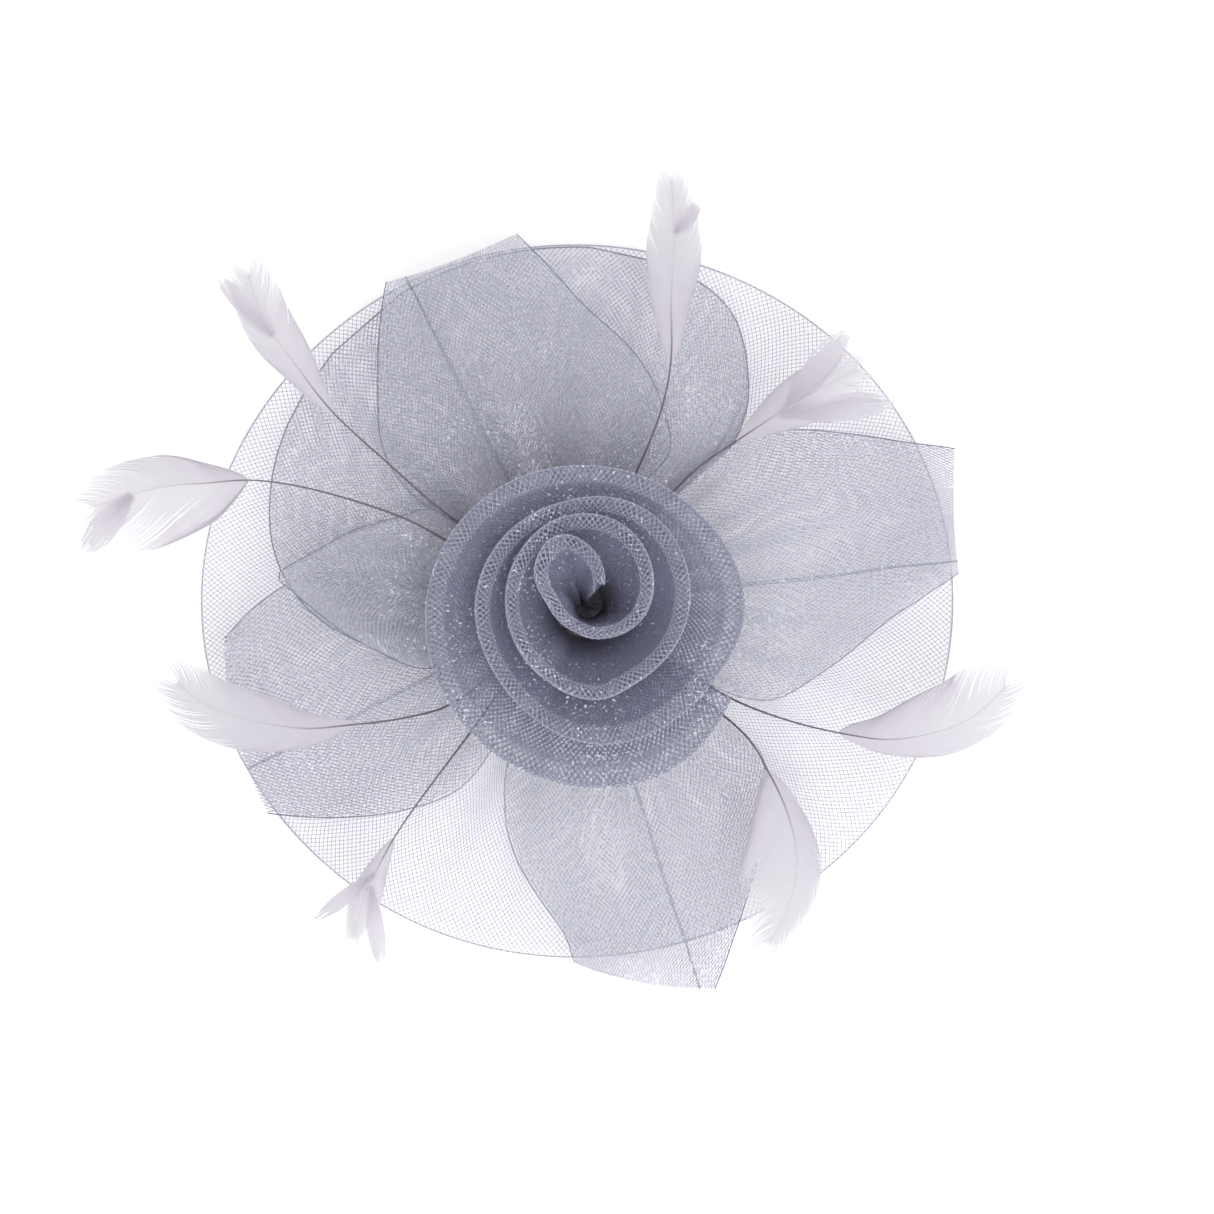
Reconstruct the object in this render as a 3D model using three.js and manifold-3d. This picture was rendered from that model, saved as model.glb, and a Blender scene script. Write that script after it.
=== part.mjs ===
// A crinoline fascinator, rose up: a round brim of net, flattened net petals round a rolled net rose, and eight
// stripped feathers. Millimetres, +Z up, the origin in the middle of the clip's flat underside, on which it rests.
import * as THREE from "three";
import { mergeVertices } from "three/addons/utils/BufferGeometryUtils.js";
import Module from "manifold-3d";

const { clamp, degToRad, lerp, radToDeg, smoothstep } = THREE.MathUtils;
const wasm = await Module();
wasm.setup();

// Driving sizes
const CLEARANCE = 0.3; // between any two pieces
const LIE = 0.55; // between a piece and the curved cloth it lies on, so that their facets keep CLEARANCE
const WALL = 1; // one layer of net with its folds and gathers
const FOLD_SLACK = 0.4; // between the two layers of a flattened tube

const BRIM_WIDTH = 250;
const BRIM_DEPTH = 237;
const BRIM_FLAT = 0.24; // share of the brim that stays level over the clip
const RIM_WAVE = 6; // height of the waves along the rim
const RIM_WAVES = 5;
const BRIM_RINGS = 6;
const BRIM_STEPS = 40;

const CLIP_HEIGHT = 7.2;
const CLIP_WIDTH = 9;
const CLIP_PLATE = 1;
const CLIP_FLAT = 26; // level stretch of the lower jaw
const CLIP_NOSE = 16; // stretch along which the lower jaw rises to the upper one
const CLIP_BITE = 0.4; // gap left between the jaws at the tip

const SAMPLES = 8; // points across each layer of a petal
const WIDE_SAMPLES = 14;
const WIDE_TURN = 100; // degrees past which a petal is wide
const LONGEST_STEP = 0.1; // share of a petal's reach that is left unhalved between two rows
const PUFF = 5; // how far the upper layer of a petal stands off the lower one
const HOLD_TURN = 14; // degrees past an edge over which cloth keeps the height of what it crosses
const FALL_TURN = 36; // degrees over which it then comes down
const NUDGE_TURN = 5; // degrees to either side over which it follows the highest point below

const ROSE_REACH = 61.3; // farthest edge of the rose from its middle
const ROSE_MIDDLE = new THREE.Vector2(1.7, -1.7);
const ROSE_WALL = 1.6;
const ROSE_BASE_START = 2.5;
const ROSE_BASE_PITCH = 5.3; // from one turn to the next at the foot of the rose
const ROSE_HEIGHT = 36; // at the middle
const ROSE_OUTER_HEIGHT = 21; // at the last turn
const ROSE_STEP_TURN = 18;
const ROSE_NUDGE_TURN = 8; // degrees between the places whose highest one carries the rose's foot
const ROSE_FLARE = 1.5; // how late the walls lean out, 1 for straight walls

const QUILL = 1.2;
const VANE = 1.2;
const FEATHER_ROOT = 14; // distance of the quills' ends from the middle
const FEATHER_RISE = 20;
const FEATHER_CURL = 4; // how far the edges of a vane turn down
const PATH_STEPS = 24;
const RIB_STEPS = 19;
const LOCK_STEPS = 5;

const NET = { color: 0xb4b5c6, roughness: 0.42, metalness: 0 };
const PALE_NET = { color: 0xc9cad6, roughness: 0.42, metalness: 0 };
const ROSE_NET = { color: 0x8d8fa8, roughness: 0.38, metalness: 0 };
const FEATHER = { color: 0xdcd7dc, roughness: 0.7, metalness: 0 };
const STEEL = { color: 0xb8babd, roughness: 0.3, metalness: 0.9 };

// The petals, from the lowest to the highest. left and right are the turns in degrees of the two edges at a
// share of the reach, anticlockwise from +X, and puff is a share of PUFF. skew and bow are shares of the reach.
const PETALS = [
  {
    name: "lower_left_petal",
    reach: 121,
    rise: 4,
    skew: 0.03,
    bow: 0,
    crease: 207,
    mouth: "tip",
    over: [],
    rows: [
      { along: 0.13, left: 238, right: 214, puff: 0 },
      { along: 0.45, left: 240, right: 172, puff: 0.35 },
      { along: 0.6, left: 238, right: 172.5, puff: 0.6 },
      { along: 0.75, left: 229.5, right: 174.5, puff: 0.8 },
      { along: 0.88, left: 221.5, right: 180, puff: 0.8 },
      { along: 1, left: 214.5, right: 186, puff: 0.7 },
    ],
  },
  {
    name: "lower_petal",
    reach: 128,
    rise: 7,
    skew: 0.065,
    bow: 0,
    crease: -72.5,
    mouth: "tip",
    over: [],
    rows: [
      { along: 0.12, left: -50, right: -110, puff: 0 },
      { along: 0.42, left: -39, right: -114, puff: 0.5 },
      { along: 0.6, left: -39.5, right: -108.5, puff: 1 },
      { along: 0.7, left: -47, right: -103.5, puff: 1.1 },
      { along: 0.8, left: -56, right: -97.5, puff: 1.1 },
      { along: 0.9, left: -64, right: -92.5, puff: 0.9 },
      { along: 1, left: -70.5, right: -90.5, puff: 0.8 },
    ],
  },
  {
    name: "upper_loop",
    reach: 117.5,
    rise: 3,
    skew: 0,
    bow: 0,
    crease: 84,
    mouth: "root",
    over: ["lower_left_petal"],
    rows: [
      { along: 0.16, left: 206, right: 54, puff: 0 },
      { along: 0.45, left: 205, right: 47, puff: 0.4 },
      { along: 0.6, left: 192.5, right: 45, puff: 0.8 },
      { along: 0.72, left: 184.5, right: 48.5, puff: 1 },
      { along: 0.8, left: 178, right: 53, puff: 1 },
      { along: 0.87, left: 170, right: 57.5, puff: 0.9 },
      { along: 0.92, left: 160, right: 61.5, puff: 0.75 },
      { along: 0.955, left: 150, right: 66.5, puff: 0.6 },
      { along: 0.98, left: 138, right: 73.5, puff: 0.4 },
      { along: 0.995, left: 128, right: 81, puff: 0.2 },
      { along: 1, left: 120, right: 88, puff: 0.1 },
    ],
  },
  {
    name: "upper_leaf",
    reach: 122.5,
    rise: 6,
    skew: 0,
    bow: 0.03,
    crease: 118,
    mouth: "tip",
    over: ["upper_loop"],
    rows: [
      { along: 0.13, left: 142, right: 74, puff: 0 },
      { along: 0.45, left: 148, right: 58, puff: 0.4 },
      { along: 0.58, left: 146, right: 67, puff: 0.8 },
      { along: 0.68, left: 141, right: 76.5, puff: 1 },
      { along: 0.78, left: 133.5, right: 87.5, puff: 1 },
      { along: 0.88, left: 127.5, right: 93.8, puff: 0.9 },
      { along: 1, left: 121, right: 99.5, puff: 0.7 },
    ],
  },
  {
    name: "right_petal",
    reach: 130.5,
    rise: 8,
    skew: 0.03,
    bow: 0.022,
    crease: 6,
    mouth: "tip",
    over: ["upper_loop"],
    rows: [
      { along: 0.12, left: 44, right: -28, puff: 0 },
      { along: 0.4, left: 49, right: -32, puff: 0.5 },
      { along: 0.55, left: 45.5, right: -27.5, puff: 1 },
      { along: 0.65, left: 41, right: -16.5, puff: 1.1 },
      { along: 0.78, left: 32.5, right: -5, puff: 1.1 },
      { along: 0.9, left: 26, right: 0.8, puff: 0.9 },
      { along: 1, left: 22, right: 4.2, puff: 0.7 },
    ],
  },
  {
    name: "left_fold",
    reach: 98,
    rise: 7,
    skew: 0,
    bow: 0,
    crease: 172,
    mouth: "root",
    over: ["upper_loop", "upper_leaf"],
    rows: [
      { along: 0.192, left: 210, right: 152, puff: 0 },
      { along: 0.55, left: 204.5, right: 147, puff: 0.5 },
      { along: 0.68, left: 195, right: 156, puff: 0.8 },
      { along: 0.8, left: 187, right: 163.5, puff: 0.7 },
      { along: 0.88, left: 182, right: 168.5, puff: 0.45 },
      { along: 0.95, left: 178.3, right: 172, puff: 0.3 },
      { along: 1, left: 176, right: 174.4, puff: 0.1 },
    ],
  },
];

// The top edge of the rose's one long wall, from the middle outwards. turn is in degrees, and reach is a share
// of ROSE_REACH.
const ROSE_EDGE = [
  { turn: 50, reach: 0.15 },
  { turn: 84, reach: 0.31 },
  { turn: 108, reach: 0.39 },
  { turn: 137, reach: 0.325 },
  { turn: 172, reach: 0.17 },
  { turn: 248, reach: 0.115 },
  { turn: 308, reach: 0.19 },
  { turn: 363, reach: 0.35 },
  { turn: 420, reach: 0.47 },
  { turn: 457, reach: 0.48 },
  { turn: 506, reach: 0.42 },
  { turn: 554, reach: 0.39 },
  { turn: 600, reach: 0.42 },
  { turn: 639, reach: 0.495 },
  { turn: 667, reach: 0.49 },
  { turn: 729, reach: 0.573 },
  { turn: 778, reach: 0.605 },
  { turn: 829, reach: 0.55 },
  { turn: 900, reach: 0.56 },
  { turn: 946, reach: 0.59 },
  { turn: 999, reach: 0.74 },
  { turn: 1045, reach: 0.79 },
  { turn: 1080, reach: 0.86 },
  { turn: 1127, reach: 0.775 },
  { turn: 1180, reach: 0.745 },
  { turn: 1262, reach: 0.83 },
  { turn: 1320, reach: 0.91 },
  { turn: 1375, reach: 0.99 },
  { turn: 1409, reach: 0.93 },
];

// The feathers, anticlockwise from the upper left. root is the turn in degrees of the quill's end. Each row of a
// path gives a turn, a share of the feather's reach and a share of FEATHER_RISE, and the first rows, as many as
// bare says, are bare quill. left and right are the widths of the two halves of the vane, and tip names a column
// of VANE_OUTLINE. A lock leaves the rib at a share of the vane for a tip of its own.
const FEATHERS = [
  {
    name: "feather_1",
    root: 146,
    reach: 159,
    bare: 3,
    left: 7.5,
    right: 8.5,
    tip: "blunt",
    path: [
      { turn: 146.3, along: 0.33, rise: 0.25 },
      { turn: 144, along: 0.48, rise: 0.65 },
      { turn: 142.2, along: 0.64, rise: 0.95 },
      { turn: 140, along: 0.75, rise: 1.1 },
      { turn: 138, along: 0.86, rise: 1.15 },
      { turn: 133.5, along: 1, rise: 1 },
    ],
    locks: [{ from: 0.5, turn: 138, along: 0.99, rise: 0.8, width: 6 }],
  },
  {
    name: "feather_2",
    root: 158,
    reach: 169,
    bare: 4,
    left: 19,
    right: 11,
    tip: "blunt",
    path: [
      { turn: 155.5, along: 0.27, rise: 0.25 },
      { turn: 154.5, along: 0.37, rise: 0.5 },
      { turn: 157.1, along: 0.55, rise: 0.85 },
      { turn: 159.6, along: 0.665, rise: 1 },
      { turn: 162.5, along: 0.75, rise: 1.05 },
      { turn: 164.8, along: 0.83, rise: 1.05 },
      { turn: 170.5, along: 1, rise: 0.7 },
    ],
    locks: [{ from: 0.62, turn: 174.5, along: 0.965, rise: 0.4, width: 10 }],
  },
  {
    name: "feather_3",
    root: 219,
    reach: 140,
    bare: 3,
    left: 10.5,
    right: 9.5,
    tip: "blunt",
    path: [
      { turn: 219.5, along: 0.375, rise: 0.3 },
      { turn: 214.1, along: 0.487, rise: 0.6 },
      { turn: 208.5, along: 0.605, rise: 0.9 },
      { turn: 204.6, along: 0.71, rise: 1.05 },
      { turn: 196.5, along: 0.88, rise: 1 },
      { turn: 188.2, along: 1, rise: 0.65 },
    ],
    locks: [],
  },
  {
    name: "feather_4",
    root: 227,
    reach: 138,
    bare: 2,
    left: 5,
    right: 5,
    tip: "pointed",
    path: [
      { turn: 230.8, along: 0.4, rise: 0.35 },
      { turn: 232.4, along: 0.715, rise: 0.9 },
      { turn: 234.5, along: 0.86, rise: 0.9 },
      { turn: 237, along: 1, rise: 0.5 },
    ],
    locks: [
      { from: 0.3, turn: 230.5, along: 0.985, rise: 0.5, width: 5 },
      { from: 0.4, turn: 241.5, along: 0.98, rise: 0.45, width: 6 },
    ],
  },
  {
    name: "feather_5",
    root: 318,
    reach: 134.5,
    bare: 3,
    left: 8,
    right: 18,
    tip: "pointed",
    path: [
      { turn: 322, along: 0.43, rise: 0.3 },
      { turn: 320.8, along: 0.548, rise: 0.7 },
      { turn: 318.6, along: 0.61, rise: 0.85 },
      { turn: 315.6, along: 0.7, rise: 1 },
      { turn: 311.5, along: 0.8, rise: 1.05 },
      { turn: 306.5, along: 0.88, rise: 1 },
      { turn: 295.5, along: 1, rise: 0.7 },
    ],
    locks: [],
  },
  {
    name: "feather_6",
    root: 332,
    reach: 149,
    bare: 3,
    left: 14.5,
    right: 8.5,
    tip: "blunt",
    path: [
      { turn: 327.3, along: 0.375, rise: 0.35 },
      { turn: 330.1, along: 0.518, rise: 0.75 },
      { turn: 333.7, along: 0.66, rise: 1 },
      { turn: 336.5, along: 0.76, rise: 1.05 },
      { turn: 343.1, along: 0.896, rise: 0.9 },
      { turn: 352.4, along: 1, rise: 0.6 },
    ],
    locks: [],
  },
  {
    name: "feather_7",
    root: 50,
    reach: 127.5,
    bare: 2,
    left: 9,
    right: 8.5,
    tip: "blunt",
    path: [
      { turn: 48, along: 0.446, rise: 0.45 },
      { turn: 44.7, along: 0.6, rise: 0.75 },
      { turn: 41.9, along: 0.765, rise: 0.9 },
      { turn: 38.8, along: 0.99, rise: 0.9 },
    ],
    locks: [
      { from: 0.35, turn: 45, along: 0.98, rise: 0.85, width: 9 },
      { from: 0.3, turn: 32, along: 0.96, rise: 0.7, width: 9 },
    ],
  },
  {
    name: "feather_8",
    root: 66,
    reach: 151,
    bare: 2,
    left: 9,
    right: 9,
    tip: "pointed",
    path: [
      { turn: 66, along: 0.43, rise: 0.6 },
      { turn: 68.5, along: 0.55, rise: 0.9 },
      { turn: 72.7, along: 0.682, rise: 1.05 },
      { turn: 75, along: 0.81, rise: 1 },
      { turn: 78.6, along: 1, rise: 0.75 },
    ],
    locks: [{ from: 0.6, turn: 73, along: 0.9, rise: 0.7, width: 6 }],
  },
];
const VANE_OUTLINE = [
  { along: 0, pointed: 0.07, blunt: 0.07 },
  { along: 0.12, pointed: 0.38, blunt: 0.35 },
  { along: 0.28, pointed: 0.68, blunt: 0.66 },
  { along: 0.45, pointed: 0.95, blunt: 0.93 },
  { along: 0.57, pointed: 1, blunt: 1 },
  { along: 0.7, pointed: 0.85, blunt: 1 },
  { along: 0.82, pointed: 0.6, blunt: 0.93 },
  { along: 0.94, pointed: 0.32, blunt: 0.6 },
  { along: 1, pointed: 0.1, blunt: 0.25 },
];
const LOCK_OUTLINE = [
  { along: 0, spread: 0.2 },
  { along: 0.4, spread: 0.5 },
  { along: 0.75, spread: 0.5 },
  { along: 1, spread: 0.12 },
];

// Reads a column of a table at any place between its rows, on a smooth curve through them.
function column(rows, key, name, at) {
  const last = rows.length - 1;
  const x = clamp(at, rows[0][key], rows[last][key]);
  let i = 0;
  while (i < last - 1 && x > rows[i + 1][key]) i += 1;
  const [a, b] = [rows[i], rows[i + 1]];
  const [before, after] = [rows[Math.max(i - 1, 0)], rows[Math.min(i + 2, last)]];
  const span = b[key] - a[key];
  const slopeA = ((b[name] - before[name]) / (b[key] - before[key])) * span;
  const slopeB = ((after[name] - a[name]) / (after[key] - a[key])) * span;
  const t = (x - a[key]) / span;
  return (
    (2 * t ** 3 - 3 * t ** 2 + 1) * a[name] +
    (t ** 3 - 2 * t ** 2 + t) * slopeA +
    (3 * t ** 2 - 2 * t ** 3) * b[name] +
    (t ** 3 - t ** 2) * slopeB
  );
}

function polar(turn, radius, height = 0) {
  const angle = degToRad(turn);
  return new THREE.Vector3(radius * Math.cos(angle), radius * Math.sin(angle), height);
}

// A ring is two rows of the same number of points, one below and one back above, with one point at each end.
function ringOf(below, rightEnd, above, leftEnd) {
  return [...below, rightEnd, ...[...above].reverse(), leftEnd];
}

// A closed mesh through rings, each made by ringOf. With inner rings it is a hollow wall, open at one end.
function loft(rings, inner = [], mouth = "tip") {
  const size = rings[0].length;
  const rows = size / 2 - 1;
  const faces = [];
  const place = (list, i, j) => list.start + i * size + ((j + size) % size);
  const outside = { start: 0, count: rings.length };
  const inside = { start: rings.length * size, count: inner.length };
  const quad = (a, b, c, d) => faces.push(a, b, c, a, c, d);
  const skin = (list, turned) => {
    for (let i = 0; i < list.count - 1; i += 1)
      for (let j = 0; j < size; j += 1) {
        const corners = [place(list, i, j), place(list, i, j + 1), place(list, i + 1, j + 1), place(list, i + 1, j)];
        quad(...(turned ? corners.reverse() : corners));
      }
  };
  const cap = (list, i, turned) => {
    for (let j = -1; j < rows; j += 1) {
      const corners = [place(list, i, j), place(list, i, j + 1), place(list, i, 2 * rows - j - 1)];
      if (j >= 0 && j < rows - 1) corners.push(place(list, i, 2 * rows - j));
      if (j === rows - 1) corners[2] = place(list, i, rows + 1);
      if (turned) corners.reverse();
      faces.push(...corners.slice(0, 3));
      if (corners.length === 4) faces.push(corners[0], corners[2], corners[3]);
    }
  };
  skin(outside, false);
  if (!inner.length) {
    cap(outside, 0, true);
    cap(outside, outside.count - 1, false);
  } else {
    const atTip = mouth === "tip";
    skin(inside, true);
    cap(outside, atTip ? 0 : outside.count - 1, atTip);
    cap(inside, atTip ? 0 : inside.count - 1, !atTip);
    const [o, n] = atTip ? [outside.count - 1, inside.count - 1] : [0, 0];
    for (let j = 0; j < size; j += 1) {
      const lip = [place(outside, o, j), place(outside, o, j + 1), place(inside, n, j + 1), place(inside, n, j)];
      quad(...(atTip ? lip : lip.reverse()));
    }
  }
  return closedGeometry([...rings, ...inner].flat(), faces);
}

function volumeOf(points, faces) {
  let volume = 0;
  for (let i = 0; i < faces.length; i += 3) {
    const [a, b, c] = [points[faces[i]], points[faces[i + 1]], points[faces[i + 2]]];
    volume += a.dot(new THREE.Vector3().crossVectors(b, c)) / 6;
  }
  return volume;
}

function closedGeometry(points, faces) {
  if (volumeOf(points, faces) < 0) faces.reverse();
  const geometry = new THREE.BufferGeometry();
  geometry.setAttribute("position", new THREE.Float32BufferAttribute(points.flatMap((p) => [p.x, p.y, p.z]), 3));
  geometry.setIndex(faces);
  return geometry;
}

function solidOf(geometry) {
  const plain = geometry.clone();
  plain.deleteAttribute("normal");
  plain.deleteAttribute("uv");
  const merged = mergeVertices(plain, 1e-4);
  const vertProperties = new Float32Array(merged.attributes.position.array);
  const triVerts = new Uint32Array(merged.index.array);
  return new wasm.Manifold(new wasm.Mesh({ numProp: 3, vertProperties, triVerts }));
}

function geometryOf(solid) {
  const made = solid.getMesh();
  const geometry = new THREE.BufferGeometry();
  geometry.setAttribute("position", new THREE.BufferAttribute(made.vertProperties, 3));
  geometry.setIndex(new THREE.BufferAttribute(made.triVerts, 1));
  return geometry;
}

function meshOf(name, geometry, look) {
  const mesh = new THREE.Mesh(geometry, new THREE.MeshStandardMaterial(look));
  mesh.name = name;
  geometry.computeVertexNormals();
  return mesh;
}

// Brim
const BRIM_SEAT = CLIP_HEIGHT + CLEARANCE + WALL;

// Height of the brim's upper face, level past the rim.
function brimTop(x, y) {
  const across = x / (BRIM_WIDTH / 2);
  const deep = y / (BRIM_DEPTH / 2);
  const out = clamp((Math.hypot(across, deep) - BRIM_FLAT) / (1 - BRIM_FLAT), 0, 1);
  const wave = (1 - Math.cos(RIM_WAVES * Math.atan2(deep, across))) / 2;
  const rim = WALL + RIM_WAVE * wave;
  return lerp(BRIM_SEAT, rim, out ** 1.6 * (1.4 - 0.4 * out));
}

function brim() {
  const profile = [];
  const out = (i) => (i ? lerp(BRIM_FLAT, 1, (i - 1) / (BRIM_RINGS - 1)) : 0);
  for (let i = 0; i <= BRIM_RINGS; i += 1) profile.push(new THREE.Vector2(out(i), 0));
  for (let i = BRIM_RINGS; i >= 0; i -= 1) profile.push(new THREE.Vector2(out(i), 1));
  const geometry = new THREE.LatheGeometry(profile, BRIM_STEPS);
  geometry.rotateX(Math.PI / 2);
  const place = geometry.attributes.position;
  for (let i = 0; i < place.count; i += 1) {
    const x = (place.getX(i) * BRIM_WIDTH) / 2;
    const y = (place.getY(i) * BRIM_DEPTH) / 2;
    const layer = place.getZ(i) > 0.5 ? 0 : WALL;
    place.setXYZ(i, x, y, brimTop(x, y) - layer);
  }
  return meshOf("brim", geometryOf(solidOf(geometry)), PALE_NET);
}

// Petals
const petalNamed = Object.fromEntries(PETALS.map((petal) => [petal.name, petal]));

function edges(petal, along) {
  const left = column(petal.rows, "along", "left", along);
  const right = column(petal.rows, "along", "right", along);
  return { middle: (left + right) / 2, half: (left - right) / 2 };
}

// Thickness of a petal at a share of its reach and at -1 to 1 from its right edge to its left one.
function thickness(petal, along, across, turn) {
  const puff = PUFF * column(petal.rows, "along", "puff", along);
  const crown = (1 - across ** 2) ** 0.75;
  const crease = 0.45 * Math.exp(-(((turn - petal.crease) / 5) ** 2));
  return 2 * WALL + FOLD_SLACK + puff * crown * (1 - crease);
}

function underside(petal, x, y, along) {
  return restOn(petal.over, x, y) + LIE + petal.rise * along ** 2.5;
}

// Height at which something rests at this place: on the brim, or on the petals that are named.
function restOn(names, x, y) {
  const floor = brimTop(x, y);
  const radius = Math.hypot(x, y);
  let height = floor;
  for (const name of names) {
    const petal = petalNamed[name];
    const along = clamp(radius / petal.reach, petal.rows[0].along, 1);
    const { middle, half } = edges(petal, along);
    for (const nudge of [-NUDGE_TURN, 0, NUDGE_TURN]) {
      const seen = radToDeg(Math.atan2(y, x)) + nudge;
      const turn = seen + 360 * Math.round((middle - seen) / 360);
      const across = clamp((turn - middle) / Math.max(half, 1), -1, 1);
      const past = Math.max(Math.abs(turn - middle) - half, 0);
      const fall = 1 - smoothstep(past, HOLD_TURN, HOLD_TURN + FALL_TURN);
      const top = underside(petal, x, y, along) + thickness(petal, along, across, turn);
      height = Math.max(height, floor + (top - floor) * fall);
    }
  }
  return height;
}

// The cut end of a petal may run askew and curve in between its corners.
function radiusAt(petal, along, across) {
  return petal.reach * along * (1 + petal.skew * across * along ** 3 - petal.bow * (1 - across ** 2) * along ** 6);
}

function petalRing(petal, along, inset) {
  const { middle, half } = edges(petal, along);
  const widest = Math.max(...petal.rows.map((row) => row.left - row.right));
  const samples = widest > WIDE_TURN ? WIDE_SAMPLES : SAMPLES;
  const below = [];
  const above = [];
  const reach = petal.reach * along;
  const cut = radToDeg(inset / reach);
  const end = (side) => {
    const turn = middle + side * (half - cut + radToDeg((WALL * (inset ? 0.2 : 0.8)) / reach));
    const place = polar(turn, radiusAt(petal, along, side));
    const low = underside(petal, place.x, place.y, along);
    place.z = low + thickness(petal, along, 1, turn) / 2;
    return place;
  };
  for (let i = 0; i < samples; i += 1) {
    const across = -Math.cos((Math.PI * i) / (samples - 1)) * 0.35 + 0.65 * ((2 * i) / (samples - 1) - 1);
    const turn = middle + across * (half - cut);
    const { x, y } = polar(turn, radiusAt(petal, along, across));
    const low = underside(petal, x, y, along);
    const high = low + thickness(petal, along, across * (1 - cut / half), turn);
    below.push(new THREE.Vector3(x, y, low + inset));
    above.push(new THREE.Vector3(x, y, high - inset));
  }
  return ringOf(below, end(1), above, end(-1));
}

function petalMesh(petal) {
  const stations = petal.rows.flatMap((row, i) => {
    const next = petal.rows[i + 1] ?? row;
    return next.along - row.along > LONGEST_STEP ? [row.along, (row.along + next.along) / 2] : [row.along];
  });
  const outer = stations.map((along) => petalRing(petal, along, 0));
  const open = stations.filter((along) => degToRad(edges(petal, along).half) * petal.reach * along > 3 * WALL);
  const hollow = petal.mouth === "tip" ? open.slice(1) : open.slice(0, -1);
  const inner = hollow.map((along) => petalRing(petal, along, WALL));
  return meshOf(petal.name, geometryOf(solidOf(loft(outer, inner, petal.mouth))), NET);
}

// Rose
const ALL_PETALS = PETALS.map((petal) => petal.name);

// Height of the upper face of the petals' stack, and outside them of the brim.
function stackTop(x, y) {
  return restOn(ALL_PETALS, x, y);
}

function roseFoot(turn) {
  const radius = ROSE_BASE_START + (ROSE_BASE_PITCH * (turn - ROSE_EDGE[0].turn)) / 360;
  const heights = [-2, -1, 0, 1, 2].map((step) => {
    const place = polar(turn + step * ROSE_NUDGE_TURN, Math.max(radius, FEATHER_ROOT));
    return stackTop(place.x + ROSE_MIDDLE.x, place.y + ROSE_MIDDLE.y);
  });
  return { radius, height: Math.max(...heights) + LIE + QUILL + LIE };
}

function roseWall(turn, level) {
  const foot = roseFoot(turn);
  const span = (turn - ROSE_EDGE[0].turn) / (ROSE_EDGE.at(-1).turn - ROSE_EDGE[0].turn);
  const edge = ROSE_REACH * column(ROSE_EDGE, "turn", "reach", turn);
  const radius = lerp(foot.radius, edge, level ** ROSE_FLARE);
  const rise = lerp(ROSE_HEIGHT, ROSE_OUTER_HEIGHT, span) * level ** 0.92;
  const place = polar(turn, radius, foot.height + rise);
  return place.add(new THREE.Vector3(ROSE_MIDDLE.x, ROSE_MIDDLE.y, 0));
}

function rose() {
  const levels = [0, 0.28, 0.56, 0.82, 1];
  const first = ROSE_EDGE[0].turn;
  const last = ROSE_EDGE.at(-1).turn;
  const steps = Math.round((last - first) / ROSE_STEP_TURN);
  const rings = [];
  for (let i = 0; i <= steps; i += 1) {
    const turn = lerp(first, last, i / steps);
    const inside = [];
    const outside = [];
    for (const level of levels) {
      const place = roseWall(turn, level);
      const ahead = roseWall(Math.min(turn + 4, last), level).sub(roseWall(Math.max(turn - 4, first), level));
      const across = new THREE.Vector3(ahead.y, -ahead.x, 0).setLength(ROSE_WALL / 2);
      inside.push(place.clone().sub(across));
      outside.push(place.clone().add(across));
    }
    const top = roseWall(turn, 1).add(new THREE.Vector3(0, 0, ROSE_WALL / 3));
    const bottom = roseWall(turn, 0);
    rings.push(ringOf(outside, top, inside, bottom));
  }
  return meshOf("rose", geometryOf(solidOf(loft(rings))), ROSE_NET);
}

// Feathers
const ROSE_FOOT = roseFoot(ROSE_EDGE.at(-1).turn).radius + ROSE_WALL / 2 + ROSE_MIDDLE.length();

// The quill lies flat on the petals until it is clear of the rose's foot, rises from there and stays above them.
function featherCurve(feather) {
  const onPetals = (place) => stackTop(place.x, place.y) + LIE + QUILL / 2;
  const root = polar(feather.root, FEATHER_ROOT);
  const seat = onPetals(root);
  const raise = (row) => polar(row.turn, feather.reach * row.along, seat + FEATHER_RISE * row.rise);
  const seated = [FEATHER_ROOT, (FEATHER_ROOT + ROSE_FOOT) / 2, ROSE_FOOT];
  const plan = [...seated.map((radius) => polar(feather.root, radius, seat)), ...feather.path.map(raise)];
  const points = new THREE.CatmullRomCurve3(plan, false, "centripetal").getSpacedPoints(PATH_STEPS);
  for (const place of points) {
    const free = Math.hypot(place.x, place.y) > ROSE_FOOT;
    place.z = free ? Math.max(place.z, onPetals(place) + CLEARANCE) : onPetals(place);
  }
  const bareEnd = raise(feather.path[feather.bare - 1]);
  const distances = points.map((place) => Math.hypot(place.x - bareEnd.x, place.y - bareEnd.y));
  const bare = distances.indexOf(Math.min(...distances)) / PATH_STEPS;
  return { curve: new THREE.CatmullRomCurve3(points, false, "centripetal"), bare, raise };
}

// One strip of a feather along a curve. widths gives how far it spreads to each side, and deep its thickness.
function strip(curve, steps, widths) {
  const rings = [];
  for (let i = 0; i <= steps; i += 1) {
    const at = i / steps;
    const middle = curve.getPointAt(at);
    const ahead = curve.getTangentAt(at);
    const side = new THREE.Vector3(-ahead.y, ahead.x, 0).normalize();
    const { left, right, deep, curl } = widths(at);
    const point = (share, up) => {
      const out = share > 0 ? share * left : share * right;
      const place = middle.clone().addScaledVector(side, out);
      place.z += up - curl * share ** 2;
      return place;
    };
    const row = (up) => [point(-0.55, up), point(0, up), point(0.55, up)];
    rings.push(ringOf(row(-deep / 2), point(1, 0), row(deep / 2), point(-1, 0)));
  }
  return solidOf(loft(rings));
}

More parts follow.
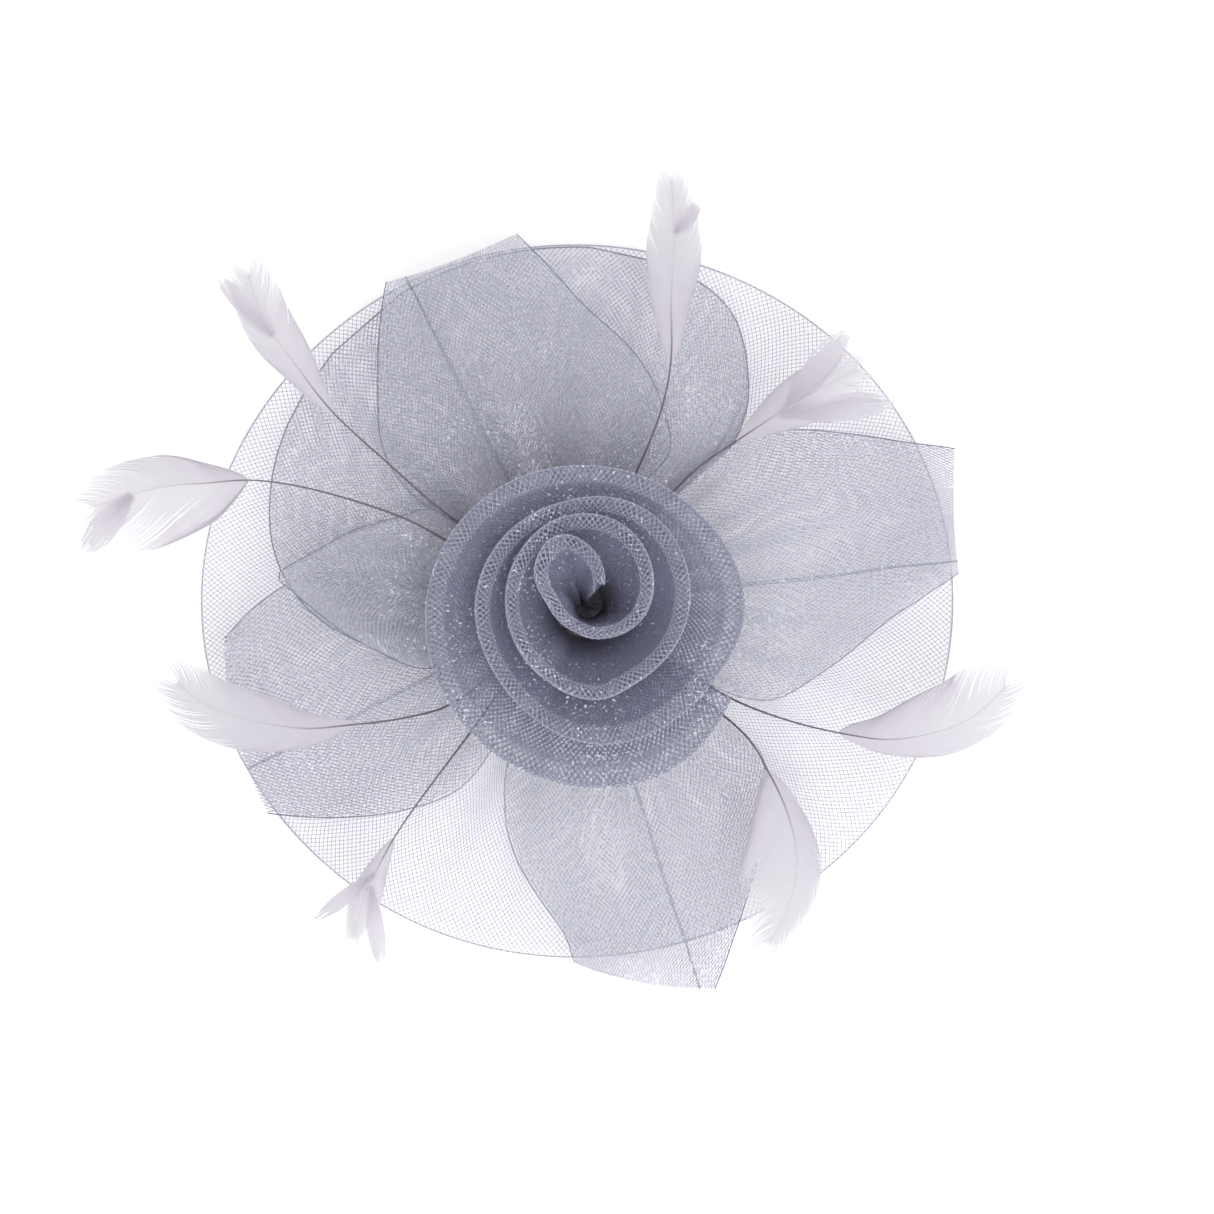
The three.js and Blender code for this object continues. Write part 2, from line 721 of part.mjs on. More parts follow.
function featherMesh(feather) {
  const { curve, bare, raise } = featherCurve(feather);
  const round = { left: QUILL / 2, right: QUILL / 2, deep: QUILL, curl: 0 };
  const rib = strip(curve, RIB_STEPS, (at) => {
    if (at < bare) return round;
    const spread = column(VANE_OUTLINE, "along", feather.tip, (at - bare) / (1 - bare));
    const left = Math.max(feather.left * spread, round.left);
    const right = Math.max(feather.right * spread, round.right);
    return { left, right, deep: VANE, curl: FEATHER_CURL * spread };
  });
  const locks = feather.locks.map((lock) => {
    const start = curve.getPointAt(lerp(bare, 1, lock.from));
    const tip = raise(lock);
    const middle = start.clone().lerp(tip, 0.5).add(new THREE.Vector3(0, 0, FEATHER_CURL / 4));
    const path = new THREE.CatmullRomCurve3([start, middle, tip], false, "centripetal");
    return strip(path, LOCK_STEPS, (at) => {
      const half = lock.width * column(LOCK_OUTLINE, "along", "spread", at);
      return { left: half, right: half, deep: VANE, curl: FEATHER_CURL / 4 };
    });
  });
  const whole = locks.reduce((sum, lock) => sum.add(lock), rib);
  return meshOf(feather.name, geometryOf(whole), FEATHER);
}

// Clip: one bent strip of steel, flat below, whose lower jaw rises to meet the upper one at the tip.
function hairClip() {
  const half = CLIP_FLAT / 2;
  const bend = CLIP_HEIGHT / 2;
  const tip = half + CLIP_NOSE;
  const bite = CLIP_HEIGHT - CLIP_PLATE - CLIP_BITE;
  const outline = new THREE.Shape();
  outline.moveTo(tip, CLIP_HEIGHT);
  outline.lineTo(-half, CLIP_HEIGHT);
  outline.absarc(-half, bend, bend, Math.PI / 2, (3 * Math.PI) / 2, false);
  outline.lineTo(half, 0);
  outline.lineTo(tip, bite - CLIP_PLATE);
  outline.lineTo(tip, bite);
  outline.lineTo(half - CLIP_PLATE / 4, CLIP_PLATE);
  outline.lineTo(-half, CLIP_PLATE);
  outline.absarc(-half, bend, bend - CLIP_PLATE, (3 * Math.PI) / 2, Math.PI / 2, true);
  outline.lineTo(tip, CLIP_HEIGHT - CLIP_PLATE);
  const geometry = new THREE.ExtrudeGeometry(outline, { depth: CLIP_WIDTH, bevelEnabled: false, curveSegments: 8 });
  geometry.rotateX(Math.PI / 2);
  geometry.translate(0, CLIP_WIDTH / 2, 0);
  return meshOf("hair_clip", geometryOf(solidOf(geometry)), STEEL);
}

const fascinator = new THREE.Group();
fascinator.add(brim(), ...PETALS.map(petalMesh), rose(), ...FEATHERS.map(featherMesh), hairClip());

export default fascinator;
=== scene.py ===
"""Crinoline net fascinator: brim, petals and rose woven of strands, stripped feathers, a clip of steel."""

import math

import bmesh
import bpy
import numpy as np
from bpy.props import FloatProperty, FloatVectorProperty, PointerProperty
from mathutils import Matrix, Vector


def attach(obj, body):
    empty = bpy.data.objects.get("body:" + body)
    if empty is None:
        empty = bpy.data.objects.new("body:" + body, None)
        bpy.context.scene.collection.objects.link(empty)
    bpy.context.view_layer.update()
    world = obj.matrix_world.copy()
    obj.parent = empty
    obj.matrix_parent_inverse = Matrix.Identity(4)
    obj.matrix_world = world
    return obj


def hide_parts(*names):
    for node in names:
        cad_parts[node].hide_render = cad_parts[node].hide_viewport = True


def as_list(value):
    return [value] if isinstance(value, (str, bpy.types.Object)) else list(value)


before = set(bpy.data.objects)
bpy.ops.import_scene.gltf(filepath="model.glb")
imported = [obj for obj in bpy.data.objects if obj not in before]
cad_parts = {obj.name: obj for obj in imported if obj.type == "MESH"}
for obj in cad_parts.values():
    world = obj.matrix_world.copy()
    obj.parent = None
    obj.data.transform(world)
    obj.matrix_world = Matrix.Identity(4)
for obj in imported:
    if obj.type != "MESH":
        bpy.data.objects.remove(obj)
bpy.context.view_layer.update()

bl_info = {
    "name": "Net Fascinator",
    "version": (1, 0, 0),
    "blender": (4, 5, 0),
    "location": "3D View > Sidebar > Fascinator",
    "description": "Builds a fascinator of woven crinoline net with a rolled rose and stripped feathers",
    "category": "Add Mesh",
}

MM = 0.001

# Sizes that the strands share with the solids, in millimetres.
CLEARANCE = 0.3
LIE = 0.55
WALL = 1.0
FOLD_SLACK = 0.4
BRIM_WIDTH = 250.0
BRIM_DEPTH = 237.0
BRIM_FLAT = 0.24
RIM_WAVE = 6.0
RIM_WAVES = 5
CLIP_HEIGHT = 7.2
BRIM_SEAT = CLIP_HEIGHT + CLEARANCE + WALL
PUFF = 5.0
HOLD_TURN = 14.0
FALL_TURN = 36.0
NUDGE_TURN = 5.0
ROSE_REACH = 61.3
ROSE_MIDDLE = np.array([1.7, -1.7])
ROSE_WALL = 1.6
ROSE_BASE_START = 2.5
ROSE_BASE_PITCH = 5.3
ROSE_HEIGHT = 36.0
ROSE_OUTER_HEIGHT = 21.0
ROSE_NUDGE_TURN = 8.0
ROSE_FLARE = 1.5
QUILL = 1.2
FEATHER_ROOT = 14.0
FEATHER_RISE = 20.0
FEATHER_CURL = 4.0
PATH_STEPS = 24

# How the nets are woven, in millimetres: the straight stretches of a strand, how far the strands lie within
# the solid's face and over and under each other, and how deep a strip is.
NET_STEP = 4.5
ROSE_STEP = 3.2
LIP_STEP = 1.6
PETAL_INSET = 0.3
BRIM_INSET = 0.5
OVER_UNDER = 0.06
SELVEDGE_GAP = 0.28
BRIM_STRIP = 110.0
ROSE_STRIP = 76.0
LIP_STRIP = 7.0
LIP_INSET = 0.2
OUTER_INSET = 0.25
INNER_INSET = 0.7

# Strands that lie bunched, as shares of the cloth: how far apart they are, and where a crease has them.
TUBE_SPACING = 0.002
FOLD_SPACING = 0.0015
CREASE_SPACING = 0.01
CREASE_START = 0.2
CREASE_ASIDE = 0.85

# Gathers, pleats and tucks. Depths are in millimetres, and shifts, slants and widths are shares of the cloth.
ROOT_SHARE = 0.1
GATHER_SHIFT = 0.03
GATHER_WAVES = 9
PLEAT_DEPTH = 0.6
PLEAT_WAVES = 14
TUCK_WIDTH = 0.13
TUCK_SLANT = 0.1
TUCK_PULL = 0.4
TUCK_DEPTH = 0.6
TUCK_END = 0.35
FOLD_SHIFT = 0.012
FOLD_PLEATS = 7
FOLD_PLEAT_DEPTH = 0.9
BRIM_SHIFT = 0.02
BRIM_PLEATS = 30

# The rolled edge of the rose: the wall's length from foot to lip, and how far down the lip swells.
ROSE_SAMPLES = 700
ROSE_EVEN = 0.6
ROSE_RISE = 0.92
ROSE_RUN = 34.0
LIP_DROP = 2.4
LIP_SPREAD = 2.2
LIP_ROUND = 4.0

# The vanes: barbs cling together in locks, and leave the quill at these angles in degrees from root to tip.
LOCKS_OF_BARBS = 6
BARB_ANGLES = (36, 22)
LAST_BARB = 0.86
QUILL_END = 0.87
WRAPPED_TO = 40

# The camera: the width of its sensor in millimetres, and in metres its height and what it sees.
SENSOR = 36
VIEW_HEIGHT = 1.5
VIEW_WIDTH = 0.4047
VIEW_MIDDLE = (0.00967, -0.002)

# The middle of the rose's pit, in metres, round which the strands are painted darker as painted shade.
PAINTED_SHADE_MIDDLE = (0.0017, -0.0017, 0.014)

# The petals, from the lowest to the highest. Skew and bow shape the cut end, and over names the petals below.
# Those with tucks are tubes, the others doubled cloths. A row is share of the reach, turns in degrees of the
# left and the right edge, and share of PUFF.
ROW = ("along", "left", "right", "puff")
PETAL_FACTS = ("reach", "rise", "skew", "bow", "crease", "over", "tucks", "rows")
PETALS = {
    "lower_left_petal": (121, 4, 0.03, 0, 207, (), ((0.3, 0.7), (-0.45, 0.6)), (
        (0.13, 238, 214, 0), (0.45, 240, 172, 0.35), (0.6, 238, 172.5, 0.6), (0.75, 229.5, 174.5, 0.8),
        (0.88, 221.5, 180, 0.8), (1, 214.5, 186, 0.7),
    )),
    "lower_petal": (128, 7, 0.065, 0, -72.5, (), ((0.35, 0.8), (-0.35, 0.7)), (
        (0.12, -50, -110, 0), (0.42, -39, -114, 0.5), (0.6, -39.5, -108.5, 1), (0.7, -47, -103.5, 1.1),
        (0.8, -56, -97.5, 1.1), (0.9, -64, -92.5, 0.9), (1, -70.5, -90.5, 0.8),
    )),
    "upper_loop": (117.5, 3, 0, 0, 84, ("lower_left_petal",), (), (
        (0.16, 206, 54, 0), (0.45, 205, 47, 0.4), (0.6, 192.5, 45, 0.8), (0.72, 184.5, 48.5, 1),
        (0.8, 178, 53, 1), (0.87, 170, 57.5, 0.9), (0.92, 160, 61.5, 0.75), (0.955, 150, 66.5, 0.6),
        (0.98, 138, 73.5, 0.4), (0.995, 128, 81, 0.2), (1, 120, 88, 0.1),
    )),
    "upper_leaf": (122.5, 6, 0, 0.03, 118, ("upper_loop",), ((0.4, 0.7), (-0.3, 0.8)), (
        (0.13, 142, 74, 0), (0.45, 148, 58, 0.4), (0.58, 146, 67, 0.8), (0.68, 141, 76.5, 1),
        (0.78, 133.5, 87.5, 1), (0.88, 127.5, 93.8, 0.9), (1, 121, 99.5, 0.7),
    )),
    "right_petal": (130.5, 8, 0.03, 0.022, 6, ("upper_loop",), ((0.1, 0.8), (-0.5, 0.7)), (
        (0.12, 44, -28, 0), (0.4, 49, -32, 0.5), (0.55, 45.5, -27.5, 1), (0.65, 41, -16.5, 1.1),
        (0.78, 32.5, -5, 1.1), (0.9, 26, 0.8, 0.9), (1, 22, 4.2, 0.7),
    )),
    "left_fold": (98, 7, 0, 0, 172, ("upper_loop", "upper_leaf"), (), (
        (0.192, 210, 152, 0), (0.55, 204.5, 147, 0.5), (0.68, 195, 156, 0.8), (0.8, 187, 163.5, 0.7),
        (0.88, 182, 168.5, 0.45), (0.95, 178.3, 172, 0.3), (1, 176, 174.4, 0.1),
    )),
}
PETALS = {name: dict(zip(PETAL_FACTS, facts)) for name, facts in PETALS.items()}

# The top edge of the rose's long wall, from the middle outwards: turn in degrees and share of ROSE_REACH.
ROSE_EDGE = (
    (50, 0.15), (84, 0.31), (108, 0.39), (137, 0.325), (172, 0.17), (248, 0.115), (308, 0.19), (363, 0.35),
    (420, 0.47), (457, 0.48), (506, 0.42), (554, 0.39), (600, 0.42), (639, 0.495), (667, 0.49),
    (729, 0.573), (778, 0.605), (829, 0.55), (900, 0.56), (946, 0.59), (999, 0.74), (1045, 0.79),
    (1080, 0.86), (1127, 0.775), (1180, 0.745), (1262, 0.83), (1320, 0.91), (1375, 0.99), (1409, 0.93),
)

# The feathers, anticlockwise from the upper left. Root is the turn of the seat, and left and right are widths
# of the vane. A row of a path is turn, share of the reach and share of FEATHER_RISE, and bare counts the rows
# that are bare quill. A lock is where it leaves the vane, the turn, reach and rise of its tip, and its width.
FEATHER_FACTS = ("root", "reach", "bare", "left", "right", "tip", "locks", "path")
FEATHERS = {
    "feather_1": (146, 159, 3, 7.5, 8.5, "blunt", ((0.5, 138, 0.99, 0.8, 6),), (
        (146.3, 0.33, 0.25), (144, 0.48, 0.65), (142.2, 0.64, 0.95), (140, 0.75, 1.1), (138, 0.86, 1.15),
        (133.5, 1, 1),
    )),
    "feather_2": (158, 169, 4, 19, 11, "blunt", ((0.62, 174.5, 0.965, 0.4, 10),), (
        (155.5, 0.27, 0.25), (154.5, 0.37, 0.5), (157.1, 0.55, 0.85), (159.6, 0.665, 1),
        (162.5, 0.75, 1.05), (164.8, 0.83, 1.05), (170.5, 1, 0.7),
    )),
    "feather_3": (219, 140, 3, 10.5, 9.5, "blunt", (), (
        (219.5, 0.375, 0.3), (214.1, 0.487, 0.6), (208.5, 0.605, 0.9), (204.6, 0.71, 1.05),
        (196.5, 0.88, 1), (188.2, 1, 0.65),
    )),
    "feather_4": (227, 138, 2, 5, 5, "pointed", ((0.3, 230.5, 0.985, 0.5, 5), (0.4, 241.5, 0.98, 0.45, 6)), (
        (230.8, 0.4, 0.35), (232.4, 0.715, 0.9), (234.5, 0.86, 0.9), (237, 1, 0.5),
    )),
    "feather_5": (318, 134.5, 3, 8, 18, "pointed", (), (
        (322, 0.43, 0.3), (320.8, 0.548, 0.7), (318.6, 0.61, 0.85), (315.6, 0.7, 1), (311.5, 0.8, 1.05),
        (306.5, 0.88, 1), (295.5, 1, 0.7),
    )),
    "feather_6": (332, 149, 3, 14.5, 8.5, "blunt", (), (
        (327.3, 0.375, 0.35), (330.1, 0.518, 0.75), (333.7, 0.66, 1), (336.5, 0.76, 1.05),
        (343.1, 0.896, 0.9), (352.4, 1, 0.6),
    )),
    "feather_7": (50, 127.5, 2, 9, 8.5, "blunt", ((0.35, 45, 0.98, 0.85, 9), (0.3, 32, 0.96, 0.7, 9)), (
        (48, 0.446, 0.45), (44.7, 0.6, 0.75), (41.9, 0.765, 0.9), (38.8, 0.99, 0.9),
    )),
    "feather_8": (66, 151, 2, 9, 9, "pointed", ((0.6, 73, 0.9, 0.7, 6),), (
        (66, 0.43, 0.6), (68.5, 0.55, 0.9), (72.7, 0.682, 1.05), (75, 0.81, 1), (78.6, 1, 0.75),
    )),
}
FEATHERS = {name: dict(zip(FEATHER_FACTS, facts)) for name, facts in FEATHERS.items()}
VANE_OUTLINE = {
    "along": (0, 0.12, 0.28, 0.45, 0.57, 0.7, 0.82, 0.94, 1),
    "pointed": (0.07, 0.38, 0.68, 0.95, 1, 0.85, 0.6, 0.32, 0.1),
    "blunt": (0.07, 0.35, 0.66, 0.93, 1, 1, 0.93, 0.6, 0.25),
}


# Shape


def hermite(t, start, leave, end, arrive):
    """A smooth curve from one place to another, with its slopes there."""
    return (
        (2 * t**3 - 3 * t**2 + 1) * start
        + (t**3 - 2 * t**2 + t) * leave
        + (3 * t**2 - 2 * t**3) * end
        + (t**3 - t**2) * arrive
    )


def smooth_curve(keys, values, at):
    """Values of a table at any places between its rows, on a smooth curve through them."""
    keys = np.asarray(keys, float)
    values = np.asarray(values, float)
    at = np.clip(at, keys[0], keys[-1])
    slopes = np.gradient(values) / np.gradient(keys)
    slopes[1:-1] = (values[2:] - values[:-2]) / (keys[2:] - keys[:-2])
    low = np.clip(np.searchsorted(keys, at, "right") - 1, 0, len(keys) - 2)
    span = keys[low + 1] - keys[low]
    return hermite(
        (at - keys[low]) / span, values[low], slopes[low] * span, values[low + 1], slopes[low + 1] * span
    )


def row_curve(petal, name, along):
    """A column of a petal's rows at shares of its reach."""
    rows = PETALS[petal]["rows"]
    place = ROW.index(name)
    return smooth_curve([row[0] for row in rows], [row[place] for row in rows], along)


def smooth_step(x, low, high):
    t = np.clip((x - low) / (high - low), 0, 1)
    return t * t * (3 - 2 * t)


def mix(a, b, share):
    return a + (b - a) * share


def brim_top(x, y):
    """Height of the brim's upper face, level past the rim."""
    across = x / (BRIM_WIDTH / 2)
    deep = y / (BRIM_DEPTH / 2)
    out = np.clip((np.hypot(across, deep) - BRIM_FLAT) / (1 - BRIM_FLAT), 0, 1)
    wave = (1 - np.cos(RIM_WAVES * np.arctan2(deep, across))) / 2
    return mix(BRIM_SEAT, WALL + RIM_WAVE * wave, out**1.6 * (1.4 - 0.4 * out))


def petal_edges(petal, along):
    """Turn of a petal's middle, and half the turn from edge to edge."""
    left = row_curve(petal, "left", along)
    right = row_curve(petal, "right", along)
    return (left + right) / 2, (left - right) / 2


def seen_across(x, y, middle, half, nudge=0):
    """Turn of a place, near that of a petal's middle, and its share of the way to the edge."""
    seen = np.degrees(np.arctan2(y, x)) + nudge
    turn = seen + 360 * np.rint((middle - seen) / 360)
    return turn, np.clip((turn - middle) / np.maximum(half, 1), -1, 1)


def petal_thickness(petal, along, across, turn):
    crown = np.maximum(1 - across**2, 0) ** 0.75
    crease = 0.45 * np.exp(-(((turn - PETALS[petal]["crease"]) / 5) ** 2))
    return 2 * WALL + FOLD_SLACK + PUFF * row_curve(petal, "puff", along) * crown * (1 - crease)


def petal_underside(petal, x, y, along):
    return rest_on(PETALS[petal]["over"], x, y) + LIE + PETALS[petal]["rise"] * along**2.5


def rest_on(names, x, y):
    """Height at which something rests at these places: on the brim, or on the petals that are named."""
    floor = brim_top(x, y)
    radius = np.hypot(x, y)
    height = floor
    for name in names:
        along = np.clip(radius / PETALS[name]["reach"], PETALS[name]["rows"][0][0], 1)
        middle, half = petal_edges(name, along)
        for nudge in (-NUDGE_TURN, 0, NUDGE_TURN):
            turn, across = seen_across(x, y, middle, half, nudge)
            past = np.maximum(np.abs(turn - middle) - half, 0)
            fall = 1 - smooth_step(past, HOLD_TURN, HOLD_TURN + FALL_TURN)
            top = petal_underside(name, x, y, along) + petal_thickness(name, along, across, turn)
            height = np.maximum(height, floor + (top - floor) * fall)
    return height


def polar(turn, radius):
    angle = np.radians(turn)
    return radius * np.cos(angle), radius * np.sin(angle)


def rose_foot(turn):
    """Distance of the rose's foot from its middle, and its height."""
    radius = ROSE_BASE_START + ROSE_BASE_PITCH * (turn - ROSE_EDGE[0][0]) / 360
    heights = []
    for step in (-2, -1, 0, 1, 2):
        x, y = polar(turn + step * ROSE_NUDGE_TURN, np.maximum(radius, FEATHER_ROOT))
        heights.append(rest_on(PETALS, x + ROSE_MIDDLE[0], y + ROSE_MIDDLE[1]))
    return radius, np.max(heights, axis=0) + LIE + QUILL + LIE


def run_along(points):
    """Distance along a line of points, at each of them."""
    return np.concatenate([[0], np.cumsum(np.linalg.norm(np.diff(points, axis=0), axis=1))])


def between(at, keys, points):
    """Points at any places between the keys of a line of points."""
    return np.stack([np.interp(at, keys, column) for column in points.T], axis=-1)


def spline(points, count):
    """Evenly spaced points of a centripetal curve through a few points."""
    points = np.asarray(points, float)
    padded = np.vstack([2 * points[0] - points[1], points, 2 * points[-1] - points[-2]])
    gaps = np.linalg.norm(np.diff(padded, axis=0), axis=1) ** 0.5
    fine = []
    for i in range(len(points) - 1):
        a, b, c, d = padded[i : i + 4]
        g, h, k = gaps[i : i + 3]
        leave = ((b - a) / g - (c - a) / (g + h) + (c - b) / h) * h
        arrive = ((c - b) / h - (d - b) / (h + k) + (d - c) / k) * h
        t = np.linspace(0, 1, 24, endpoint=False)[:, None]
        fine.append(hermite(t, b, leave, c, arrive))
    fine = np.vstack([*fine, points[-1:]])
    run = run_along(fine)
    return between(np.linspace(0, run[-1], count), run, fine)


# Strands


def grid_lines(bm, lines, steps):
    """Adds lines side by side, joined by faces. Gives each vertex, its line and its share along it."""
    verts = bmesh.ops.create_grid(bm, x_segments=steps, y_segments=lines - 1, size=0.5)["verts"]
    grid = np.array([vert.co[:2] for vert in verts]) + 0.5
    return verts, np.rint(grid[:, 1] * (lines - 1)), grid[:, 0]


def cut_between(bm, verts, band):
    """Deletes the edges that join one band of vertices to the next."""
    own = dict(zip(verts, band))
    apart = {e for vert in verts for e in vert.link_edges if own[e.verts[0]] != own[e.verts[1]]}
    bmesh.ops.delete(bm, geom=list(apart), context="EDGES_FACES")


def strand_group():
    """Geometry nodes that give each wire a round section, fine enough to need only three sides."""
    group = bpy.data.node_groups.new("net strands", "GeometryNodeTree")
    for name, in_out, kind in (
        ("Wires", "INPUT", "NodeSocketGeometry"),
        ("Radius", "INPUT", "NodeSocketFloat"),
        ("Strands", "OUTPUT", "NodeSocketGeometry"),
    ):
        group.interface.new_socket(name, in_out=in_out, socket_type=kind)
    inlet = add_node(group, "NodeGroupInput").outputs
    ring = add_node(group, "GeometryNodeCurvePrimitiveCircle", {"Resolution": 3}, {"Radius": inlet["Radius"]})
    wires = add_node(group, "GeometryNodeMeshToCurve", {}, {"Mesh": inlet["Wires"]})
    section = {"Curve": wires.outputs[0], "Profile Curve": ring.outputs[0]}
    tubes = add_node(group, "GeometryNodeCurveToMesh", {}, section)
    smooth = add_node(group, "GeometryNodeSetShadeSmooth", {}, {0: tubes.outputs[0]})
    add_node(group, "NodeGroupOutput", {}, {"Strands": smooth.outputs[0]})
    return group


def finished_mesh(bm, name):
    for face in bm.faces:
        face.smooth = True
    mesh = bpy.data.meshes.new(name)
    bm.to_mesh(mesh)
    bm.free()
    return mesh


def link_object(name, data):
    piece = bpy.data.objects.new(name, data)
    bpy.context.scene.collection.objects.link(piece)
    return piece


def string_net(name, sets, radius, material):
    """A net of round strands, as one mesh. Each set gives a number of strands, of steps along each, and where
    they run."""
    bm = bmesh.new()
    for strands, steps, run in sets:
        verts, rank, share = grid_lines(bm, strands, steps)
        for vert, place in zip(verts, run(rank, share) * MM):
            vert.co = place
        cut_between(bm, verts, rank)
    net = link_object(name, finished_mesh(bm, name))
    modifier = net.modifiers.new("strands", "NODES")
    modifier.node_group = bpy.data.node_groups.get("net strands") or strand_group()
    modifier[modifier.node_group.interface.items_tree["Radius"].identifier] = radius
    mesh = bpy.data.meshes.new_from_object(net.evaluated_get(bpy.context.evaluated_depsgraph_get()))
    net.modifiers.clear()
    net.data = mesh
    mesh.name = name
    mesh.materials.append(material)
    return net


def bounce(x, length):
    """Folds a distance back and forth between the two ends of a cloth."""
    return length - np.abs(x % (2 * length) - length)


def cloth_sets(length, width, pitch, step, place, round_about):
    """Two sets of strands at 45 degrees across a cloth, which place bends. length is where they start."""
    strands = round(length / (pitch * math.sqrt(2)))
    steps = round(width * math.sqrt(2) / step)

    def run_of(turned):
        def run(rank, share):
            across = share * width
            start = (rank + 0.5) * length / strands + turned * across
            start = start % length if round_about else bounce(start, length)
            return place(start / length, share, turned)

        return run

    return [(strands, steps, run_of(turned)) for turned in (1, -1)]


def round_edge(distance, thick):
    """Share of its half thickness that a folded cloth has at a distance from the fold."""
    near = np.clip(distance / (thick / 2), 0, 1)
    return np.sqrt(np.maximum(1 - (1 - near) ** 2, 0))


def tube_place(petal, inset):
    """Places on a flat tube with a cut end: share is once round it, and out is from root to tip."""
    facts = PETALS[petal]
    first = facts["rows"][0][0]
    phase = facts["crease"]

    def place(share, out, turned):
        upper = share < 0.5
        across = np.where(upper, 1 - 4 * share, 4 * share - 3)
        gather = (1 - out) ** 0.8
        across = across + GATHER_SHIFT * gather * np.sin(GATHER_WAVES * across + phase) * (1 - across**2)
        tuck = np.zeros_like(across)
        for centre, depth in facts["tucks"]:
            away = (across - centre - TUCK_SLANT * out) / TUCK_WIDTH
            fold = depth * (1 - smooth_step(out, TUCK_END, 1)) * np.exp(-(away**2)) * upper
            across = across - TUCK_PULL * fold * away * TUCK_WIDTH
            tuck = tuck + TUCK_DEPTH * fold * away * np.exp(0.5 - 0.5 * away**2)
        along = mix(first * ROOT_SHARE, 1, out)
        middle, half = petal_edges(petal, along)
        sweep = facts["skew"] * across * along**3 - facts["bow"] * (1 - across**2) * along**6
        radius = facts["reach"] * along * (1 + sweep)
        x, y = polar(middle + across * half, radius)
        thick = petal_thickness(petal, along, across, middle + across * half)
        edge = round_edge((1 - np.abs(across)) * np.radians(half) * radius, thick)
        pleat = PLEAT_DEPTH * gather * np.sin(PLEAT_WAVES * across + phase)
        side = np.where(upper, 1, -1) * (thick / 2 - inset)
        z = petal_underside(petal, x, y, along) + thick / 2 + (side + pleat + tuck) * edge
        return np.stack([x, y, z + OVER_UNDER * turned], axis=-1)

    return place


def fold_place(petal, inset):
    """Places on a doubled cloth, folded at its outer edge: share is along the fold, and out is from the root,
    over the fold and back under. Also gives the fold's length."""
    facts = PETALS[petal]
    reach = facts["reach"]
    rows = facts["rows"]
    sides = np.linspace(rows[1][0], 1, 40)
    middle, half = petal_edges(petal, sides)
    tip = np.linspace(1, -1, 12)[1:-1]
    rim_turn = np.concatenate([middle + half, middle[-1] + tip * half[-1], (middle - half)[::-1]])
    rim_radius = np.concatenate([reach * sides, np.full(len(tip), reach), (reach * sides)[::-1]])
    rim = np.stack(polar(rim_turn, rim_radius), axis=-1)
    run = run_along(rim)

    def place(share, out, turned):
        back = 1 - np.abs(1 - 2 * out)
        share = share + FOLD_SHIFT * (1 - back) ** 0.7 * np.sin(2 * np.pi * FOLD_PLEATS * share)
        rim_x, rim_y = np.moveaxis(between(share * run[-1], run, rim), -1, 0)
        root_x, root_y = polar(mix(rows[0][1], rows[0][2], share), reach * rows[0][0])
        x, y = mix(root_x, rim_x, back), mix(root_y, rim_y, back)
        along = np.clip(np.hypot(x, y) / reach, rows[0][0], 1)
        middle, half = petal_edges(petal, along)
        turn, across = seen_across(x, y, middle, half)
        thick = petal_thickness(petal, along, across, turn)
        edge = round_edge((1 - back) * np.hypot(rim_x - root_x, rim_y - root_y), thick)
        pleat = FOLD_PLEAT_DEPTH * (1 - back) ** 0.8 * np.sin(2 * np.pi * FOLD_PLEATS * share + 1)
        side = np.where(out < 0.5, 1, -1) * (thick / 2 - inset)
        z = petal_underside(petal, x, y, along) + thick / 2 + (side + pleat) * edge
        return np.stack([x, y, z + OVER_UNDER * turned], axis=-1)

    return place, run[-1]


def tube_edges(place):
    """Strands that lie bunched along the two folded sides of a flattened tube."""

    def run(rank, share):
        return place(((rank // 3) * 0.5 + (rank % 3 - 1) * TUBE_SPACING) % 1, share, 0)

    return [(6, 40, run)]


def crease_strands(petal, place):
    """Strands that lie bunched along the crease in a flattened tube's upper side."""

    def run(rank, share):
        out = mix(CREASE_START, 1, share)
        middle, half = petal_edges(petal, mix(PETALS[petal]["rows"][0][0] * ROOT_SHARE, 1, out))
        across = np.clip((PETALS[petal]["crease"] - middle) / half, -CREASE_ASIDE, CREASE_ASIDE)
        return place((1 - across - CREASE_SPACING * (rank - 1)) / 4, out, 0)

    return [(3, 40, run)]


def fold_edges(place):
    """Strands that lie bunched along the fold of a doubled cloth, and along its two sides."""

    def rim(rank, share):
        return place(share, 0.5 + (rank - 1) * FOLD_SPACING, 0)

    def side(rank, share):
        return place(np.where(rank < 2, 0.001, 0.999), share, 0)

    return [(3, 160, rim), (4, 60, side)]


# Materials


def linear(colour):
    """A colour given as six hex digits of sRGB, as linear RGBA."""
    parts = [int(colour[i : i + 2], 16) / 255 for i in (0, 2, 4)]
    return (*[c / 12.92 if c <= 0.04045 else ((c + 0.055) / 1.055) ** 2.4 for c in parts], 1.0)


def add_node(tree, kind, settings=None, links=None):
    """Adds a node, with socket values and attributes by name, and links into its sockets."""
    node = tree.nodes.new(kind)
    for name, value in (settings or {}).items():
        if isinstance(name, int) or name in node.inputs:
            node.inputs[name].default_value = value
        else:
            setattr(node, name, value)
    for name, source in (links or {}).items():
        tree.links.new(source, node.inputs[name])
    return node


def grain(tree, place, scale, detail):
    """Noise with so many grains to a unit of place."""
    settings = {"Scale": scale, "Detail": detail}
    return add_node(tree, "ShaderNodeTexNoise", settings, {"Vector": place}).outputs["Fac"]


def ramp(tree, value, low, high, top=1.0):
    """Climbs from 0 to top while a value climbs from low to high."""
    settings = {"From Min": low, "From Max": high, "To Max": top}
    return add_node(tree, "ShaderNodeMapRange", settings, {"Value": value}).outputs[0]


def new_material(name):
    material = bpy.data.materials.new(name)
    material.use_nodes = True
    material.node_tree.nodes.clear()
    return material, material.node_tree


